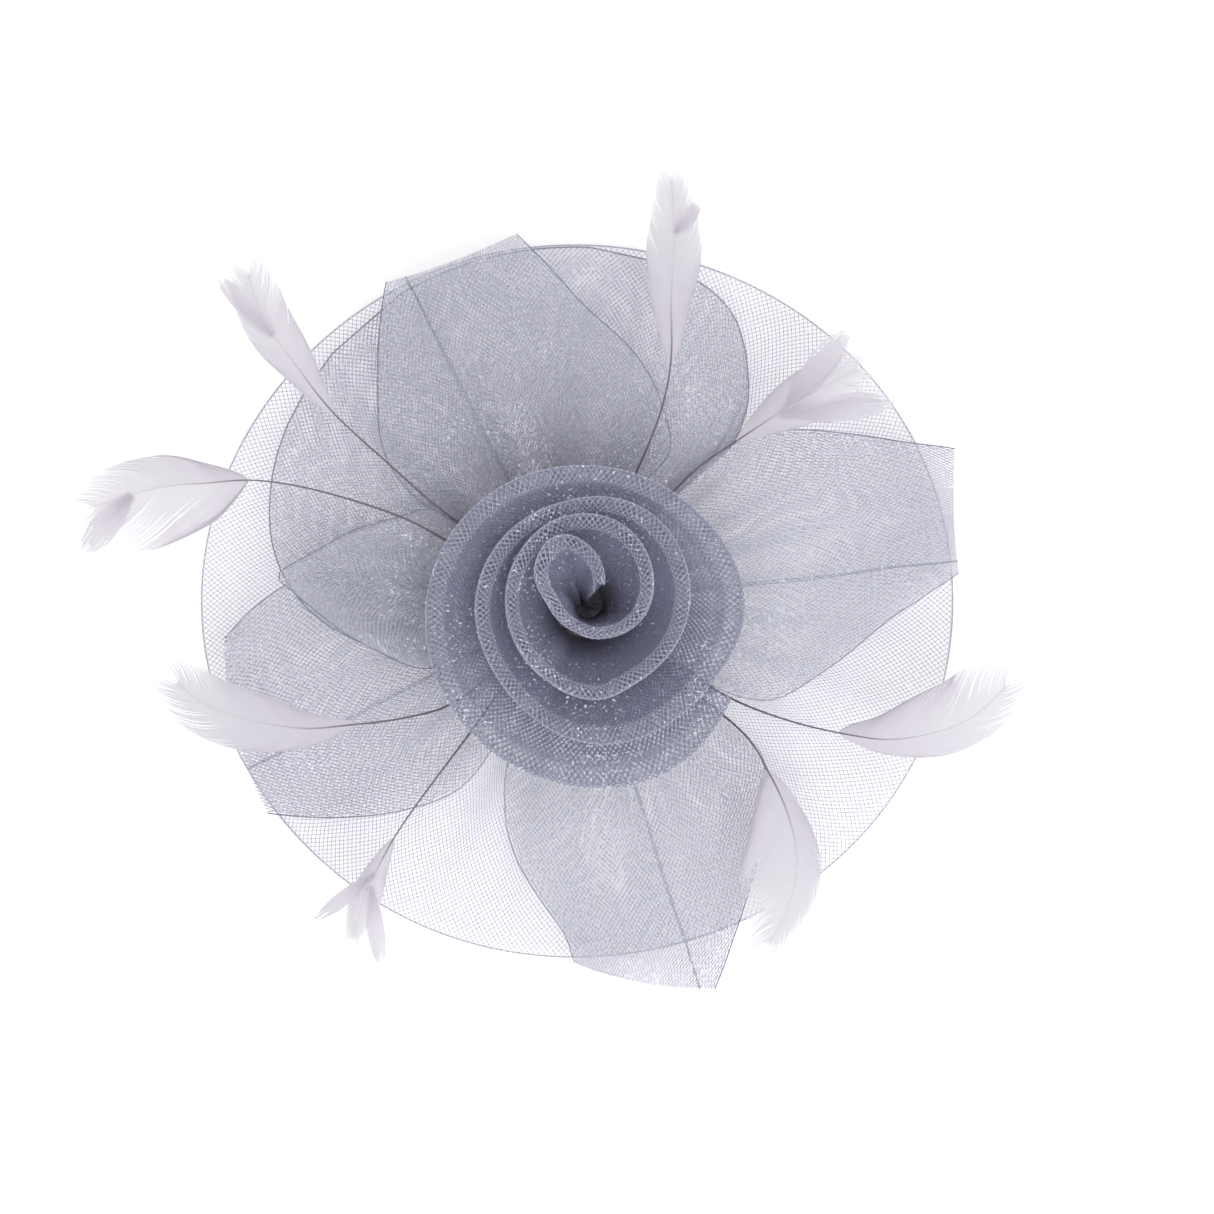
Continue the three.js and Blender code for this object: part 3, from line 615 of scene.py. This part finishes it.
def surface(tree, shader):
    add_node(tree, "ShaderNodeOutputMaterial", {}, {"Surface": shader.outputs[0]})


def blend(tree, share, first, second):
    """The colour between two, each of them a colour or the output of a node."""
    node = add_node(tree, "ShaderNodeMix", {"data_type": "RGBA"}, {0: share})
    for place, colour in ((6, first), (7, second)):
        if isinstance(colour, tuple):
            node.inputs[place].default_value = colour
        else:
            tree.links.new(colour, node.inputs[place])
    return node.outputs[2]


def darker(colour, share):
    return (*[c * share for c in colour[:3]], 1.0)


def nylon_material(name, colour, through, painted_glint_strength):
    """Drawn nylon monofilament, milky and smooth. A strand lets some light through. Short stretches of it,
    picked by noise, are painted white as painted glints and given a little light of their own.
    Near the rose's pit, and on the petals round it, the strands are painted darker as painted shade."""
    material, tree = new_material(name)
    place = add_node(tree, "ShaderNodeTexCoord").outputs["Object"]
    away = add_node(tree, "ShaderNodeVectorMath", {"operation": "DISTANCE", 1: PAINTED_SHADE_MIDDLE}, {0: place})
    outside_painted_shade = ramp(tree, away.outputs[1], 0.005, 0.026)
    # The strands cross every 1.3 mm, and a stretch between two crossings is a little shorter.
    weave = grain(tree, place, 1000.0, 0.0)
    zone = grain(tree, place, 45.0, 0.0)
    turned = blend(tree, ramp(tree, weave, 0.38, 0.6), darker(colour, 0.85), colour)
    # Painted shade: the strands are darker near the rose's pit and on the petals round it.
    body = blend(tree, outside_painted_shade, darker(colour, 0.35), turned)
    # Painted glints: short stretches picked by noise are painted white.
    both = add_node(tree, "ShaderNodeMath", {"operation": "MULTIPLY_ADD", 1: 0.3}, {0: zone, 2: weave})
    painted_glint = ramp(tree, both.outputs[0], 0.89, 0.95)
    painted_glint_shown = add_node(tree, "ShaderNodeMath", {"operation": "MULTIPLY"}, {0: painted_glint, 1: outside_painted_shade}).outputs[0]
    # The colour of the painted glints.
    white = linear("fcfcff")
    tint = blend(tree, painted_glint_shown, body, white)
    ripple = add_node(tree, "ShaderNodeBump", {"Strength": 0.5, "Distance": 0.0002}, {"Height": weave})
    # A painted glint gets some light of its own, since a highlight on a strand is finer than a pixel.
    painted_glint_light = ramp(tree, painted_glint_shown, 0.0, 1.0, painted_glint_strength)
    skin = add_node(
        tree,
        "ShaderNodeBsdfPrincipled",
        {"Roughness": 0.2, "IOR": 1.53, "Emission Color": white},
        {"Base Color": tint, "Emission Strength": painted_glint_light, "Normal": ripple.outputs[0]},
    )
    core = add_node(tree, "ShaderNodeBsdfTranslucent", {}, {"Color": body})
    both_ways = {1: skin.outputs[0], 2: core.outputs[0]}
    surface(tree, add_node(tree, "ShaderNodeMixShader", {0: through}, both_ways))
    return material


def barb_material(name, colour):
    """Stripped goose feather, dyed pale: matt barbs with faint streaks, thin enough to glow a little."""
    material, tree = new_material(name)
    place = add_node(tree, "ShaderNodeUVMap", {"uv_map": "barbs"}).outputs["UV"]
    tint = blend(tree, grain(tree, place, 0.6, 2.0), colour, darker(colour, 0.94))
    matt = {"Roughness": 0.55, "Sheen Weight": 0.3}
    skin = add_node(tree, "ShaderNodeBsdfPrincipled", matt, {"Base Color": tint})
    glow = add_node(tree, "ShaderNodeBsdfTranslucent", {}, {"Color": tint})
    both_ways = {1: skin.outputs[0], 2: glow.outputs[0]}
    surface(tree, add_node(tree, "ShaderNodeMixShader", {0: 0.6}, both_ways))
    return material


def quill_material(name, colour, pale):
    """Dyed quill, a slightly glossy horn: dark where it is bare, pale in the vane and at its wrapped root."""
    material, tree = new_material(name)
    fade = add_node(tree, "ShaderNodeAttribute", {"attribute_name": "paleness"}).outputs["Fac"]
    tint = blend(tree, fade, colour, pale)
    horn = {"Roughness": 0.35, "IOR": 1.54}
    surface(tree, add_node(tree, "ShaderNodeBsdfPrincipled", horn, {"Base Color": tint}))
    return material


def steel_material(name, colour):
    """Rolled spring steel, nickel plated: bright, with faint lines along the strip."""
    material, tree = new_material(name)
    place = add_node(tree, "ShaderNodeTexCoord").outputs["Object"]
    along = add_node(tree, "ShaderNodeMapping", {"Scale": (60.0, 4000.0, 4000.0)}, {"Vector": place})
    lines = grain(tree, along.outputs[0], 1.0, 3.0)
    bump = add_node(tree, "ShaderNodeBump", {"Strength": 0.15, "Distance": 0.00005}, {"Height": lines})
    plated = {"Base Color": colour, "Metallic": 1.0, "Roughness": 0.28}
    surface(tree, add_node(tree, "ShaderNodeBsdfPrincipled", plated, {"Normal": bump.outputs[0]}))
    return material


def card_material(name, colour, glow):
    """Milky white sheet, lit from below as on a light table, so that it shows only soft shade."""
    material, tree = new_material(name)
    lit = {"Base Color": colour, "Roughness": 0.9, "Emission Color": (1, 1, 1, 1), "Emission Strength": glow}
    surface(tree, add_node(tree, "ShaderNodeBsdfPrincipled", lit))
    return material


# Brim and rose


def brim_place(inset):
    """Places on the brim: share is once round it, and out is from the rim to the middle."""

    def place(share, out, turned):
        reach = 1 - out
        angle = 2 * np.pi * share + BRIM_SHIFT * out * np.sin(2 * np.pi * BRIM_PLEATS * share)
        x, y = BRIM_WIDTH / 2 * reach * np.cos(angle), BRIM_DEPTH / 2 * reach * np.sin(angle)
        return np.stack([x, y, brim_top(x, y) - inset + OVER_UNDER * turned], axis=-1)

    return place


def selvedge(rank, share):
    """The brim's edge: a few strands that run side by side round the rim."""
    angle = 2 * np.pi * share
    x = (BRIM_WIDTH / 2 - SELVEDGE_GAP * rank) * np.cos(angle)
    y = (BRIM_DEPTH / 2 - SELVEDGE_GAP * rank) * np.sin(angle)
    return np.stack([x, y, brim_top(x, y) - BRIM_INSET], axis=-1)


def rose_place(inset, bead):
    """Places on the rose's doubled strip: share is along it, and out is up the inner side, over the rolled
    top edge and down the outer side. Also gives the strip's length."""
    first, last = ROSE_EDGE[0][0], ROSE_EDGE[-1][0]
    turns = np.linspace(first, last, ROSE_SAMPLES)
    foot_radius, foot_height = rose_foot(turns)
    # The strip starts closed in the middle, and after one turn its foot is as far out as the solid's.
    foot_radius = foot_radius * smooth_step(turns, first - 60, first + 360)
    edge = ROSE_REACH * smooth_curve(*zip(*ROSE_EDGE), turns)
    heights = mix(ROSE_HEIGHT, ROSE_OUTER_HEIGHT, np.linspace(0, 1, ROSE_SAMPLES))
    run = run_along(np.stack(polar(turns, mix(foot_radius, edge, ROSE_EVEN)), axis=-1))

    def wall(turn, level):
        kept = (foot_radius, foot_height, edge, heights)
        foot, low, reach, tall = [np.interp(turn, turns, values) for values in kept]
        x, y = polar(turn, mix(foot, reach, level**ROSE_FLARE))
        return np.stack([x + ROSE_MIDDLE[0], y + ROSE_MIDDLE[1], low + tall * level**ROSE_RISE], axis=-1)

    def place(share, out, turned):
        turn = np.interp(share * run[-1], run, turns)
        level = 1 - np.abs(1 - 2 * out)
        spot = wall(turn, level)
        ahead = wall(turn + 3, level) - wall(turn - 3, level)
        across = np.stack([ahead[..., 1], -ahead[..., 0]], axis=-1)
        across = across / np.maximum(np.linalg.norm(across, axis=-1, keepdims=True), 1e-9)
        down = (1 - level) * ROSE_RUN
        half = (ROSE_WALL / 2 - inset) + bead * np.exp(-(((down - LIP_DROP) / LIP_SPREAD) ** 2))
        half = half * round_edge(down, LIP_ROUND) * np.where(out < 0.5, -1, 1)
        spot[..., :2] += across * (half + OVER_UNDER * turned)[..., None]
        return spot

    return place, run[-1]


def lip_place(place):
    """Places on the part of a doubled strip that lies round its rolled top edge."""

    def around(share, out, turned):
        return place(share, 0.5 + (out - 0.5) * LIP_STRIP / ROSE_STRIP, turned)

    return around


# Feathers


def feather_rib(name):
    """Evenly spaced points along a feather's rib, the share of it that is bare, and its seat's height."""
    facts = FEATHERS[name]
    foot = rose_foot(np.array([ROSE_EDGE[-1][0]], float))[0][0] + ROSE_WALL / 2 + np.hypot(*ROSE_MIDDLE)

    def on_petals(x, y):
        return rest_on(PETALS, x, y) + LIE + QUILL / 2

    seat = on_petals(*polar(facts["root"], FEATHER_ROOT))
    seated = [(*polar(facts["root"], r), seat) for r in (FEATHER_ROOT, (FEATHER_ROOT + foot) / 2, foot)]
    raised = [raised_point(facts, seat, *row) for row in facts["path"]]
    points = spline(seated + raised, PATH_STEPS + 1)
    free = np.hypot(points[:, 0], points[:, 1]) > foot
    ground = on_petals(points[:, 0], points[:, 1])
    points[:, 2] = np.where(free, np.maximum(points[:, 2], ground + CLEARANCE), ground)
    end = np.array(raised[facts["bare"] - 1])
    nearest = np.argmin(np.hypot(points[:, 0] - end[0], points[:, 1] - end[1]))
    return spline(points, 400), nearest / PATH_STEPS, seat


def raised_point(facts, seat, turn, along, rise):
    return (*polar(turn, facts["reach"] * along), seat + FEATHER_RISE * rise)


def along_rib(rib, at):
    """Points of a rib at shares of its length, the direction there, and the direction to its left."""
    keys = np.linspace(0, 1, len(rib))
    flow = np.gradient(rib, axis=0)
    flow /= np.linalg.norm(flow, axis=1, keepdims=True)
    spot, ahead = between(at, keys, rib), between(at, keys, flow)
    left = np.stack([-ahead[..., 1], ahead[..., 0], np.zeros_like(ahead[..., 0])], axis=-1)
    return spot, ahead, left / np.linalg.norm(left, axis=-1, keepdims=True)


def vane_half(name, rib, bare, side, pitch, seed):
    """One half of a vane, as a set of barbs for barb_mesh. They leave the rib at an acute angle."""
    facts = FEATHERS[name]
    rng = np.random.default_rng(seed)
    length = np.linalg.norm(np.diff(rib, axis=0), axis=1).sum() * (1 - bare)
    count = round(1.15 * length / pitch)
    tip = np.linspace(0.03, 1, count)
    wide = facts["left"] if side > 0 else facts["right"]
    spread = wide * smooth_curve(VANE_OUTLINE["along"], VANE_OUTLINE[facts["tip"]], tip)
    slant = np.tan(np.radians(mix(*BARB_ANGLES, tip)))
    root = np.clip(tip - np.maximum(spread / slant / length, 0.16 * tip), 0, LAST_BARB)
    root = np.maximum.accumulate(root)
    gaps = length * np.stack([np.gradient(root), np.gradient(tip)])
    knots = np.sort(rng.uniform(0.15, 0.95, LOCKS_OF_BARBS))
    group = np.searchsorted(knots, tip)
    centre = np.array([tip[group == g].mean() for g in group])
    pull = rng.uniform(0.0, 0.16, LOCKS_OF_BARBS + 1)[group]
    fray = 0.03 + 0.07 * smooth_step(tip, 0.75, 1)
    spread = spread * (1 - fray * np.abs(rng.standard_normal(count)) / 2)
    lift = 0.45 * rng.standard_normal(LOCKS_OF_BARBS + 1)[group]
    beyond = length * 0.02 * rng.standard_normal(count) * smooth_step(tip, 0.7, 1)

    def run(rank, share):
        k = (rank // 2).astype(int)
        edge = (rank % 2) * 2 - 1
        at = root[k] + (tip[k] - root[k]) * share**1.1 + (centre[k] - tip[k]) * pull[k] * share**3
        spot, ahead, left = along_rib(rib, mix(bare, 1, at))
        out = spread[k] * np.sin(share * np.pi / 2) ** 0.9
        curl = FEATHER_CURL * (out / wide) ** 2
        taper = 1 - 0.55 * smooth_step(share, 0.85, 1)
        half = 0.1 + mix(0.56 * gaps[0][k], 0.6 * gaps[1][k], share) * taper
        step = edge * half + beyond[k] * share**3
        place = spot + left * (side * (out + 0.12))[..., None] + ahead * step[..., None]
        place[..., 2] += lift[k] * share**2 - curl
        return place

    return 2 * count, 8, run


def lock_set(rib, bare, facts, seat, lock, pitch, seed):
    """A loose lock of barbs that leaves the vane for a tip of its own."""
    start, turn, along, rise, width = lock
    rng = np.random.default_rng(seed)
    count = round(width * 2 / pitch)
    spot, ahead, left = along_rib(rib, np.array(mix(bare, 1, start)))
    tip = np.array(raised_point(facts, seat, turn, along, rise))
    flow = tip - spot
    flow /= np.linalg.norm(flow)
    aside = np.array([-flow[1], flow[0], 0])
    lane = np.linspace(-1, 1, count)
    reach = 1 - 0.1 * np.abs(rng.standard_normal(count)) - 0.08 * lane**2

    def run(rank, share):
        k = (rank // 2).astype(int)
        edge = (rank % 2) * 2 - 1
        swell = np.interp(share, (0, 0.4, 0.75, 1), (0.12, 0.45, 0.5, 0.34))
        place = spot + (tip - spot) * (share * reach[k])[..., None]
        place = place + aside * (lane[k] * width * swell + edge * pitch * (0.6 - 0.3 * share))[..., None]
        place[..., 2] += FEATHER_CURL / 4 * np.sin(np.pi * share) - 0.8 * lane[k] ** 2
        return place

    return 2 * count, 8, run


def barb_mesh(name, sets):
    """Flat barbs, two edges to a barb, as one mesh with a UV map that runs along them in millimetres."""
    bm = bmesh.new()
    uv = bm.loops.layers.uv.new("barbs")
    for lines, steps, run in sets:
        verts, rank, shares = grid_lines(bm, lines, steps)
        own = dict(zip(verts, zip(rank, shares)))
        for face in {face for vert in verts for face in vert.link_faces}:
            for loop in face.loops:
                line, share = own[loop.vert]
                loop[uv].uv = (line // 2 * 0.35, share * 1.5)
        for vert, place in zip(verts, run(rank, shares) * MM):
            vert.co = place
        cut_between(bm, verts, rank // 2)
    return finished_mesh(bm, name)


def quill_mesh(name, rib, bare, root_width, tip_width):
    """A closed, tapering round rib, with its paleness along it."""
    bm = bmesh.new()
    paleness = bm.verts.layers.float.new("paleness")
    verts = bmesh.ops.create_grid(bm, x_segments=60, y_segments=8, size=0.5)["verts"]
    for vert in verts:
        share, round_it = vert.co.x + 0.5, (vert.co.y + 0.5) * 2 * math.pi
        spot, ahead, left = along_rib(rib, np.array(share * mix(bare, 1, QUILL_END)))
        up = np.cross(ahead, left)
        thick = mix(root_width, tip_width, share**0.8) / 2
        vert.co = (spot + thick * (left * math.cos(round_it) + up * math.sin(round_it))) * MM
        wrapped = 1 - smooth_step(np.hypot(spot[0], spot[1]), WRAPPED_TO, WRAPPED_TO + 7)
        vert[paleness] = max(0.6 * wrapped, 0.95 * smooth_step(share, bare, mix(bare, 1, 0.6)))
    bmesh.ops.remove_doubles(bm, verts=bm.verts[:], dist=0.00001)
    bmesh.ops.holes_fill(bm, edges=[e for e in bm.edges if e.is_boundary], sides=0)
    bmesh.ops.recalc_face_normals(bm, faces=bm.faces[:])
    return finished_mesh(bm, name)


def link_piece(name, mesh, material):
    mesh.materials.append(material)
    return link_object(name, mesh)


def dress(piece, node):
    """Hangs a piece under the root body, and hides the solid that it stands for."""
    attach(piece, "root")
    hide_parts(node)


# Settings


def length_property(name, description, default):
    settings = {"default": default, "min": 0.00005, "unit": "LENGTH", "precision": 5}
    return FloatProperty(name=name, description=description, **settings)


def colour_property(name, thing, default):
    settings = {"default": linear(default), "size": 4, "min": 0, "max": 1, "subtype": "COLOR"}
    return FloatVectorProperty(name=name, description="Colour of " + thing, **settings)


def share_property(name, description, default):
    return FloatProperty(name=name, description=description, default=default, min=0, max=1, subtype="FACTOR")


def strength_property(name, description, default, unit="NONE"):
    return FloatProperty(name=name, description=description, default=default, min=0, unit=unit)


class FascinatorNet(bpy.types.PropertyGroup):
    """The net of the brim and of the petals."""

    pitch: length_property("Spacing", "Distance between neighbouring strands", 0.0013)
    strand: length_property("Strand radius", "Radius of one strand", 0.00011)
    through: share_property("Light through", "Share of the light that a strand lets through", 0.25)
    # The brightness of the painted glints: stretches painted white, with a little light of their own.
    painted_glint_strength: share_property("Painted glints", "Brightness of the short flashes on the strands", 0.4)
    brim_colour: colour_property("Brim", "the brim's strands", "d6d6ea")
    edge_colour: colour_property("Edges", "the strands bunched along folds and rim", "b0b0c8")
    petal_colour: colour_property("Petals", "the petals' strands", "f2f2ff")


class FascinatorRose(bpy.types.PropertyGroup):
    """The net of the rolled rose."""

    pitch: length_property("Spacing", "Distance between neighbouring strands", 0.00115)
    lip_pitch: length_property("Lip spacing", "The same distance along the rolled top edge", 0.001)
    strand: length_property("Strand radius", "Radius of one strand", 0.00011)
    lip: length_property("Lip", "How far the rolled top edge swells to each side", 0.0013)
    through: share_property("Light through", "Share of the light that a strand lets through", 0.1)
    # The brightness of the painted glints: stretches painted white, with a little light of their own.
    painted_glint_strength: share_property("Painted glints", "Brightness of the short flashes on the strands", 0.3)
    # The rose's strands are the same nylon as the petals', painted darker as painted shade for the deep,
    # rolled rose.
    colour: colour_property("Rose", "the rose's strands", "b6b6d4")
    # The rolled top edge is the same nylon, painted lighter as painted light where the lip catches the light.
    lip_painted_light_colour: colour_property("Lip colour", "the strands along the rolled edge", "e2e2f2")


class FascinatorFeathers(bpy.types.PropertyGroup):
    """The stripped feathers."""

    barb: length_property("Barb spacing", "Distance between barbs along the edge", 0.0005)
    root_width: length_property("Quill at the root", "Width of the quill where it is seated", 0.00105)
    tip_width: length_property("Quill at the tip", "Width of the quill where it ends in the vane", 0.00022)
    vane_colour: colour_property("Vane", "the barbs", "f1eef3")
    quill_colour: colour_property("Quill", "the bare quill", "6c626e")
    pale_colour: colour_property("Pale quill", "the quill's root and within the vane", "e2dee4")


class FascinatorClip(bpy.types.PropertyGroup):
    """The clip under the brim."""

    colour: colour_property("Steel", "the plated steel", "c9cacc")


class FascinatorStage(bpy.types.PropertyGroup):
    """Floor, light and camera."""

    floor: length_property("Floor", "Half the width of the floor", 3.0)
    floor_colour: colour_property("Card", "the floor", "e8e8e8")
    glow: strength_property("Glow", "Light that comes through the floor", 0.42)
    sky: strength_property("Sky", "Strength of the white light from all round", 0.62)
    key: strength_property("Soft box", "Power of the large lamp", 24, "POWER")
    glint: strength_property("Glints", "Power of each small lamp", 1.3, "POWER")


class FascinatorSettings(bpy.types.PropertyGroup):
    """All that a user would change."""

    net: PointerProperty(type=FascinatorNet)
    rose: PointerProperty(type=FascinatorRose)
    feathers: PointerProperty(type=FascinatorFeathers)
    clip: PointerProperty(type=FascinatorClip)
    stage: PointerProperty(type=FascinatorStage)


# Operators


class FASCINATOR_OT_brim(bpy.types.Operator):
    """Weave the round brim"""

    bl_idname = "fascinator.brim"
    bl_label = "Brim"

    def execute(self, context):
        net = context.scene.fascinator.net
        rim = math.pi * (BRIM_WIDTH + BRIM_DEPTH) / 2
        sets = cloth_sets(rim, BRIM_STRIP, net.pitch / MM, NET_STEP, brim_place(BRIM_INSET), True)
        nylon = nylon_material("woven nylon brim", net.brim_colour[:], net.through, net.painted_glint_strength / 3)
        bunched = nylon_material("bunched nylon edge", net.edge_colour[:], net.through, 0)
        piece = string_net("brim_net", sets, net.strand, nylon)
        edge = string_net("brim_selvedge", [(2, 240, selvedge)], net.strand, bunched)
        for cloth in (piece, edge):
            dress(cloth, "brim")
        return {"FINISHED"}


class FASCINATOR_OT_petals(bpy.types.Operator):
    """Weave the flattened tubes and the doubled folds that lie on the brim"""

    bl_idname = "fascinator.petals"
    bl_label = "Petals"

    def execute(self, context):
        net = context.scene.fascinator.net
        nylon = nylon_material("woven nylon petal", net.petal_colour[:], net.through, net.painted_glint_strength)
        bunched = nylon_material("bunched nylon fold", net.edge_colour[:], net.through, 0)
        for name, facts in PETALS.items():
            root = facts["rows"][0][0]
            tube = len(facts["tucks"]) > 0
            if tube:
                along = np.linspace(root, 1, 40)
                wide = 2 * float(np.max(2 * np.radians(petal_edges(name, along)[1]) * along * facts["reach"]))
                deep = facts["reach"] * (1 - root)
                place = tube_place(name, PETAL_INSET)
                edges, cut = tube_edges(place) + crease_strands(name, place), 1
            else:
                place, wide = fold_place(name, PETAL_INSET)
                deep = 2 * facts["reach"] * (1 - root)
                edges, cut = fold_edges(place), 0.75
            sets = cloth_sets(wide, deep, net.pitch / MM, NET_STEP, place, tube)
            piece = string_net(name + "_net", sets, net.strand, nylon)
            edge = string_net(name + "_edge", edges, net.strand, bunched)
            for cloth in (piece, edge):
                dress(cloth, name)
            [other + "_net" for other in facts["over"]] or ["brim_net"]
        return {"FINISHED"}


class FASCINATOR_OT_rose(bpy.types.Operator):
    """Weave the strip that is rolled into a rose"""

    bl_idname = "fascinator.rose"
    bl_label = "Rose"

    def execute(self, context):
        rose = context.scene.fascinator.rose
        nylon = nylon_material("woven nylon rose", rose.colour[:], rose.through, rose.painted_glint_strength)
        place, long = rose_place(LIP_INSET, rose.lip / MM)
        sets = cloth_sets(long, LIP_STRIP, rose.lip_pitch / MM, LIP_STEP, lip_place(place), False)
        # The rolled top edge gets its lighter colour: painted light.
        rolled = nylon_material("woven nylon lip", rose.lip_painted_light_colour[:], rose.through, rose.painted_glint_strength)
        lip = string_net("rose_lip", sets, rose.strand, rolled)
        dress(lip, "rose")
        layers = (("rose_outer_net", OUTER_INSET, [lip]), ("rose_inner_net", INNER_INSET, []))
        for name, inset, on_it in layers:
            place, long = rose_place(inset, rose.lip / MM)
            sets = cloth_sets(long + inset, ROSE_STRIP, rose.pitch / MM, ROSE_STEP, place, False)
            piece = string_net(name, sets, rose.strand, nylon)
            dress(piece, "rose")
            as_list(on_it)
        return {"FINISHED"}


class FASCINATOR_OT_feathers(bpy.types.Operator):
    """Build the vanes of barbs and the quills"""

    bl_idname = "fascinator.feathers"
    bl_label = "Feathers"

    def execute(self, context):
        look = context.scene.fascinator.feathers
        barbs = barb_material("stripped feather barbs", look.vane_colour[:])
        horn = quill_material("dyed feather quill", look.quill_colour[:], look.pale_colour[:])
        pitch = look.barb / MM
        for n, (name, facts) in enumerate(FEATHERS.items()):
            rib, bare, seat = feather_rib(name)
            sets = [vane_half(name, rib, bare, side, pitch, 10 * n + side + 1) for side in (1, -1)]
            for i, lock in enumerate(facts["locks"]):
                sets.append(lock_set(rib, bare, facts, seat, lock, pitch, 10 * n + 5 + i))
            quill = quill_mesh(name + "_quill", rib, bare, look.root_width / MM, look.tip_width / MM)
            dress(link_piece(name + "_vane", barb_mesh(name + "_vane", sets), barbs), name)
            dress(link_piece(name + "_quill", quill, horn), name)
        return {"FINISHED"}


class FASCINATOR_OT_clip(bpy.types.Operator):
    """Give the clip its plated steel"""

    bl_idname = "fascinator.clip"
    bl_label = "Clip"

    def execute(self, context):
        steel = steel_material("plated spring steel", context.scene.fascinator.clip.colour[:])
        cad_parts["hair_clip"].material_slots[0].material = steel
        return {"FINISHED"}


class FASCINATOR_OT_stage(bpy.types.Operator):
    """Lay the floor and set the light and the camera"""

    bl_idname = "fascinator.stage"
    bl_label = "Stage"

    def execute(self, context):
        stage = context.scene.fascinator.stage
        scene = context.scene
        bm = bmesh.new()
        bmesh.ops.create_grid(bm, x_segments=1, y_segments=1, size=stage.floor)
        card = card_material("milky white sheet", stage.floor_colour[:], stage.glow)
        link_piece("floor", finished_mesh(bm, "floor"), card)
        camera = link_object("camera", bpy.data.cameras.new("camera"))
        scene.camera = camera
        camera.data.sensor_width = SENSOR
        camera.data.lens = SENSOR / VIEW_WIDTH * VIEW_HEIGHT
        camera.location = (*VIEW_MIDDLE, VIEW_HEIGHT)
        camera.data.clip_start = 0.05
        scene.world = bpy.data.worlds.new("studio")
        scene.world.use_nodes = True
        sky = scene.world.node_tree.nodes["Background"]
        sky.inputs["Color"].default_value = (1, 1, 1, 1)
        sky.inputs["Strength"].default_value = stage.sky
        for name, size, power, place in (
            ("soft box", 2.0, stage.key, (0.5, -1.1, 2.0)),
            ("right glint", 0.12, stage.glint, (0.9, 0.5, 1.4)),
            ("left glint", 0.12, stage.glint, (-0.7, 0.9, 1.5)),
            ("low glint", 0.12, stage.glint, (0.3, -1.3, 1.3)),
        ):
            lamp = link_object(name, bpy.data.lights.new(name, "AREA"))
            lamp.data.shape = "SQUARE"
            lamp.data.size = size
            lamp.data.energy = power
            lamp.location = place
            lamp.rotation_mode = "QUATERNION"
            lamp.rotation_quaternion = Vector(place).to_track_quat("Z", "Y")
        scene.view_settings.view_transform = "Standard"
        return {"FINISHED"}


PANEL_BOXES = (
    ("net", ("brim", "petals")),
    ("rose", ("rose",)),
    ("feathers", ("feathers",)),
    ("clip", ("clip",)),
    ("stage", ("stage",)),
)


class FASCINATOR_PT_pieces(bpy.types.Panel):
    """The pieces of the fascinator and their settings"""

    bl_idname = "FASCINATOR_PT_pieces"
    bl_label = "Net Fascinator"
    bl_space_type = "VIEW_3D"
    bl_region_type = "UI"
    bl_category = "Fascinator"

    def draw(self, context):
        for group, pieces in PANEL_BOXES:
            settings = getattr(context.scene.fascinator, group)
            box = self.layout.box()
            for name in settings.bl_rna.properties.keys():
                if name not in ("rna_type", "name"):
                    box.prop(settings, name)
            for piece in pieces:
                box.operator("fascinator." + piece)


CLASSES = (
    FascinatorNet,
    FascinatorRose,
    FascinatorFeathers,
    FascinatorClip,
    FascinatorStage,
    FascinatorSettings,
    FASCINATOR_OT_brim,
    FASCINATOR_OT_petals,
    FASCINATOR_OT_rose,
    FASCINATOR_OT_feathers,
    FASCINATOR_OT_clip,
    FASCINATOR_OT_stage,
    FASCINATOR_PT_pieces,
)


def register():
    for cls in CLASSES:
        bpy.utils.register_class(cls)
    bpy.types.Scene.fascinator = PointerProperty(type=FascinatorSettings)


def unregister():
    del bpy.types.Scene.fascinator
    for cls in reversed(CLASSES):
        bpy.utils.unregister_class(cls)


def main():
    register()
    bpy.ops.fascinator.brim()
    bpy.ops.fascinator.petals()
    bpy.ops.fascinator.rose()
    bpy.ops.fascinator.feathers()
    bpy.ops.fascinator.clip()
    bpy.ops.fascinator.stage()


if __name__ == "__main__":
    main()
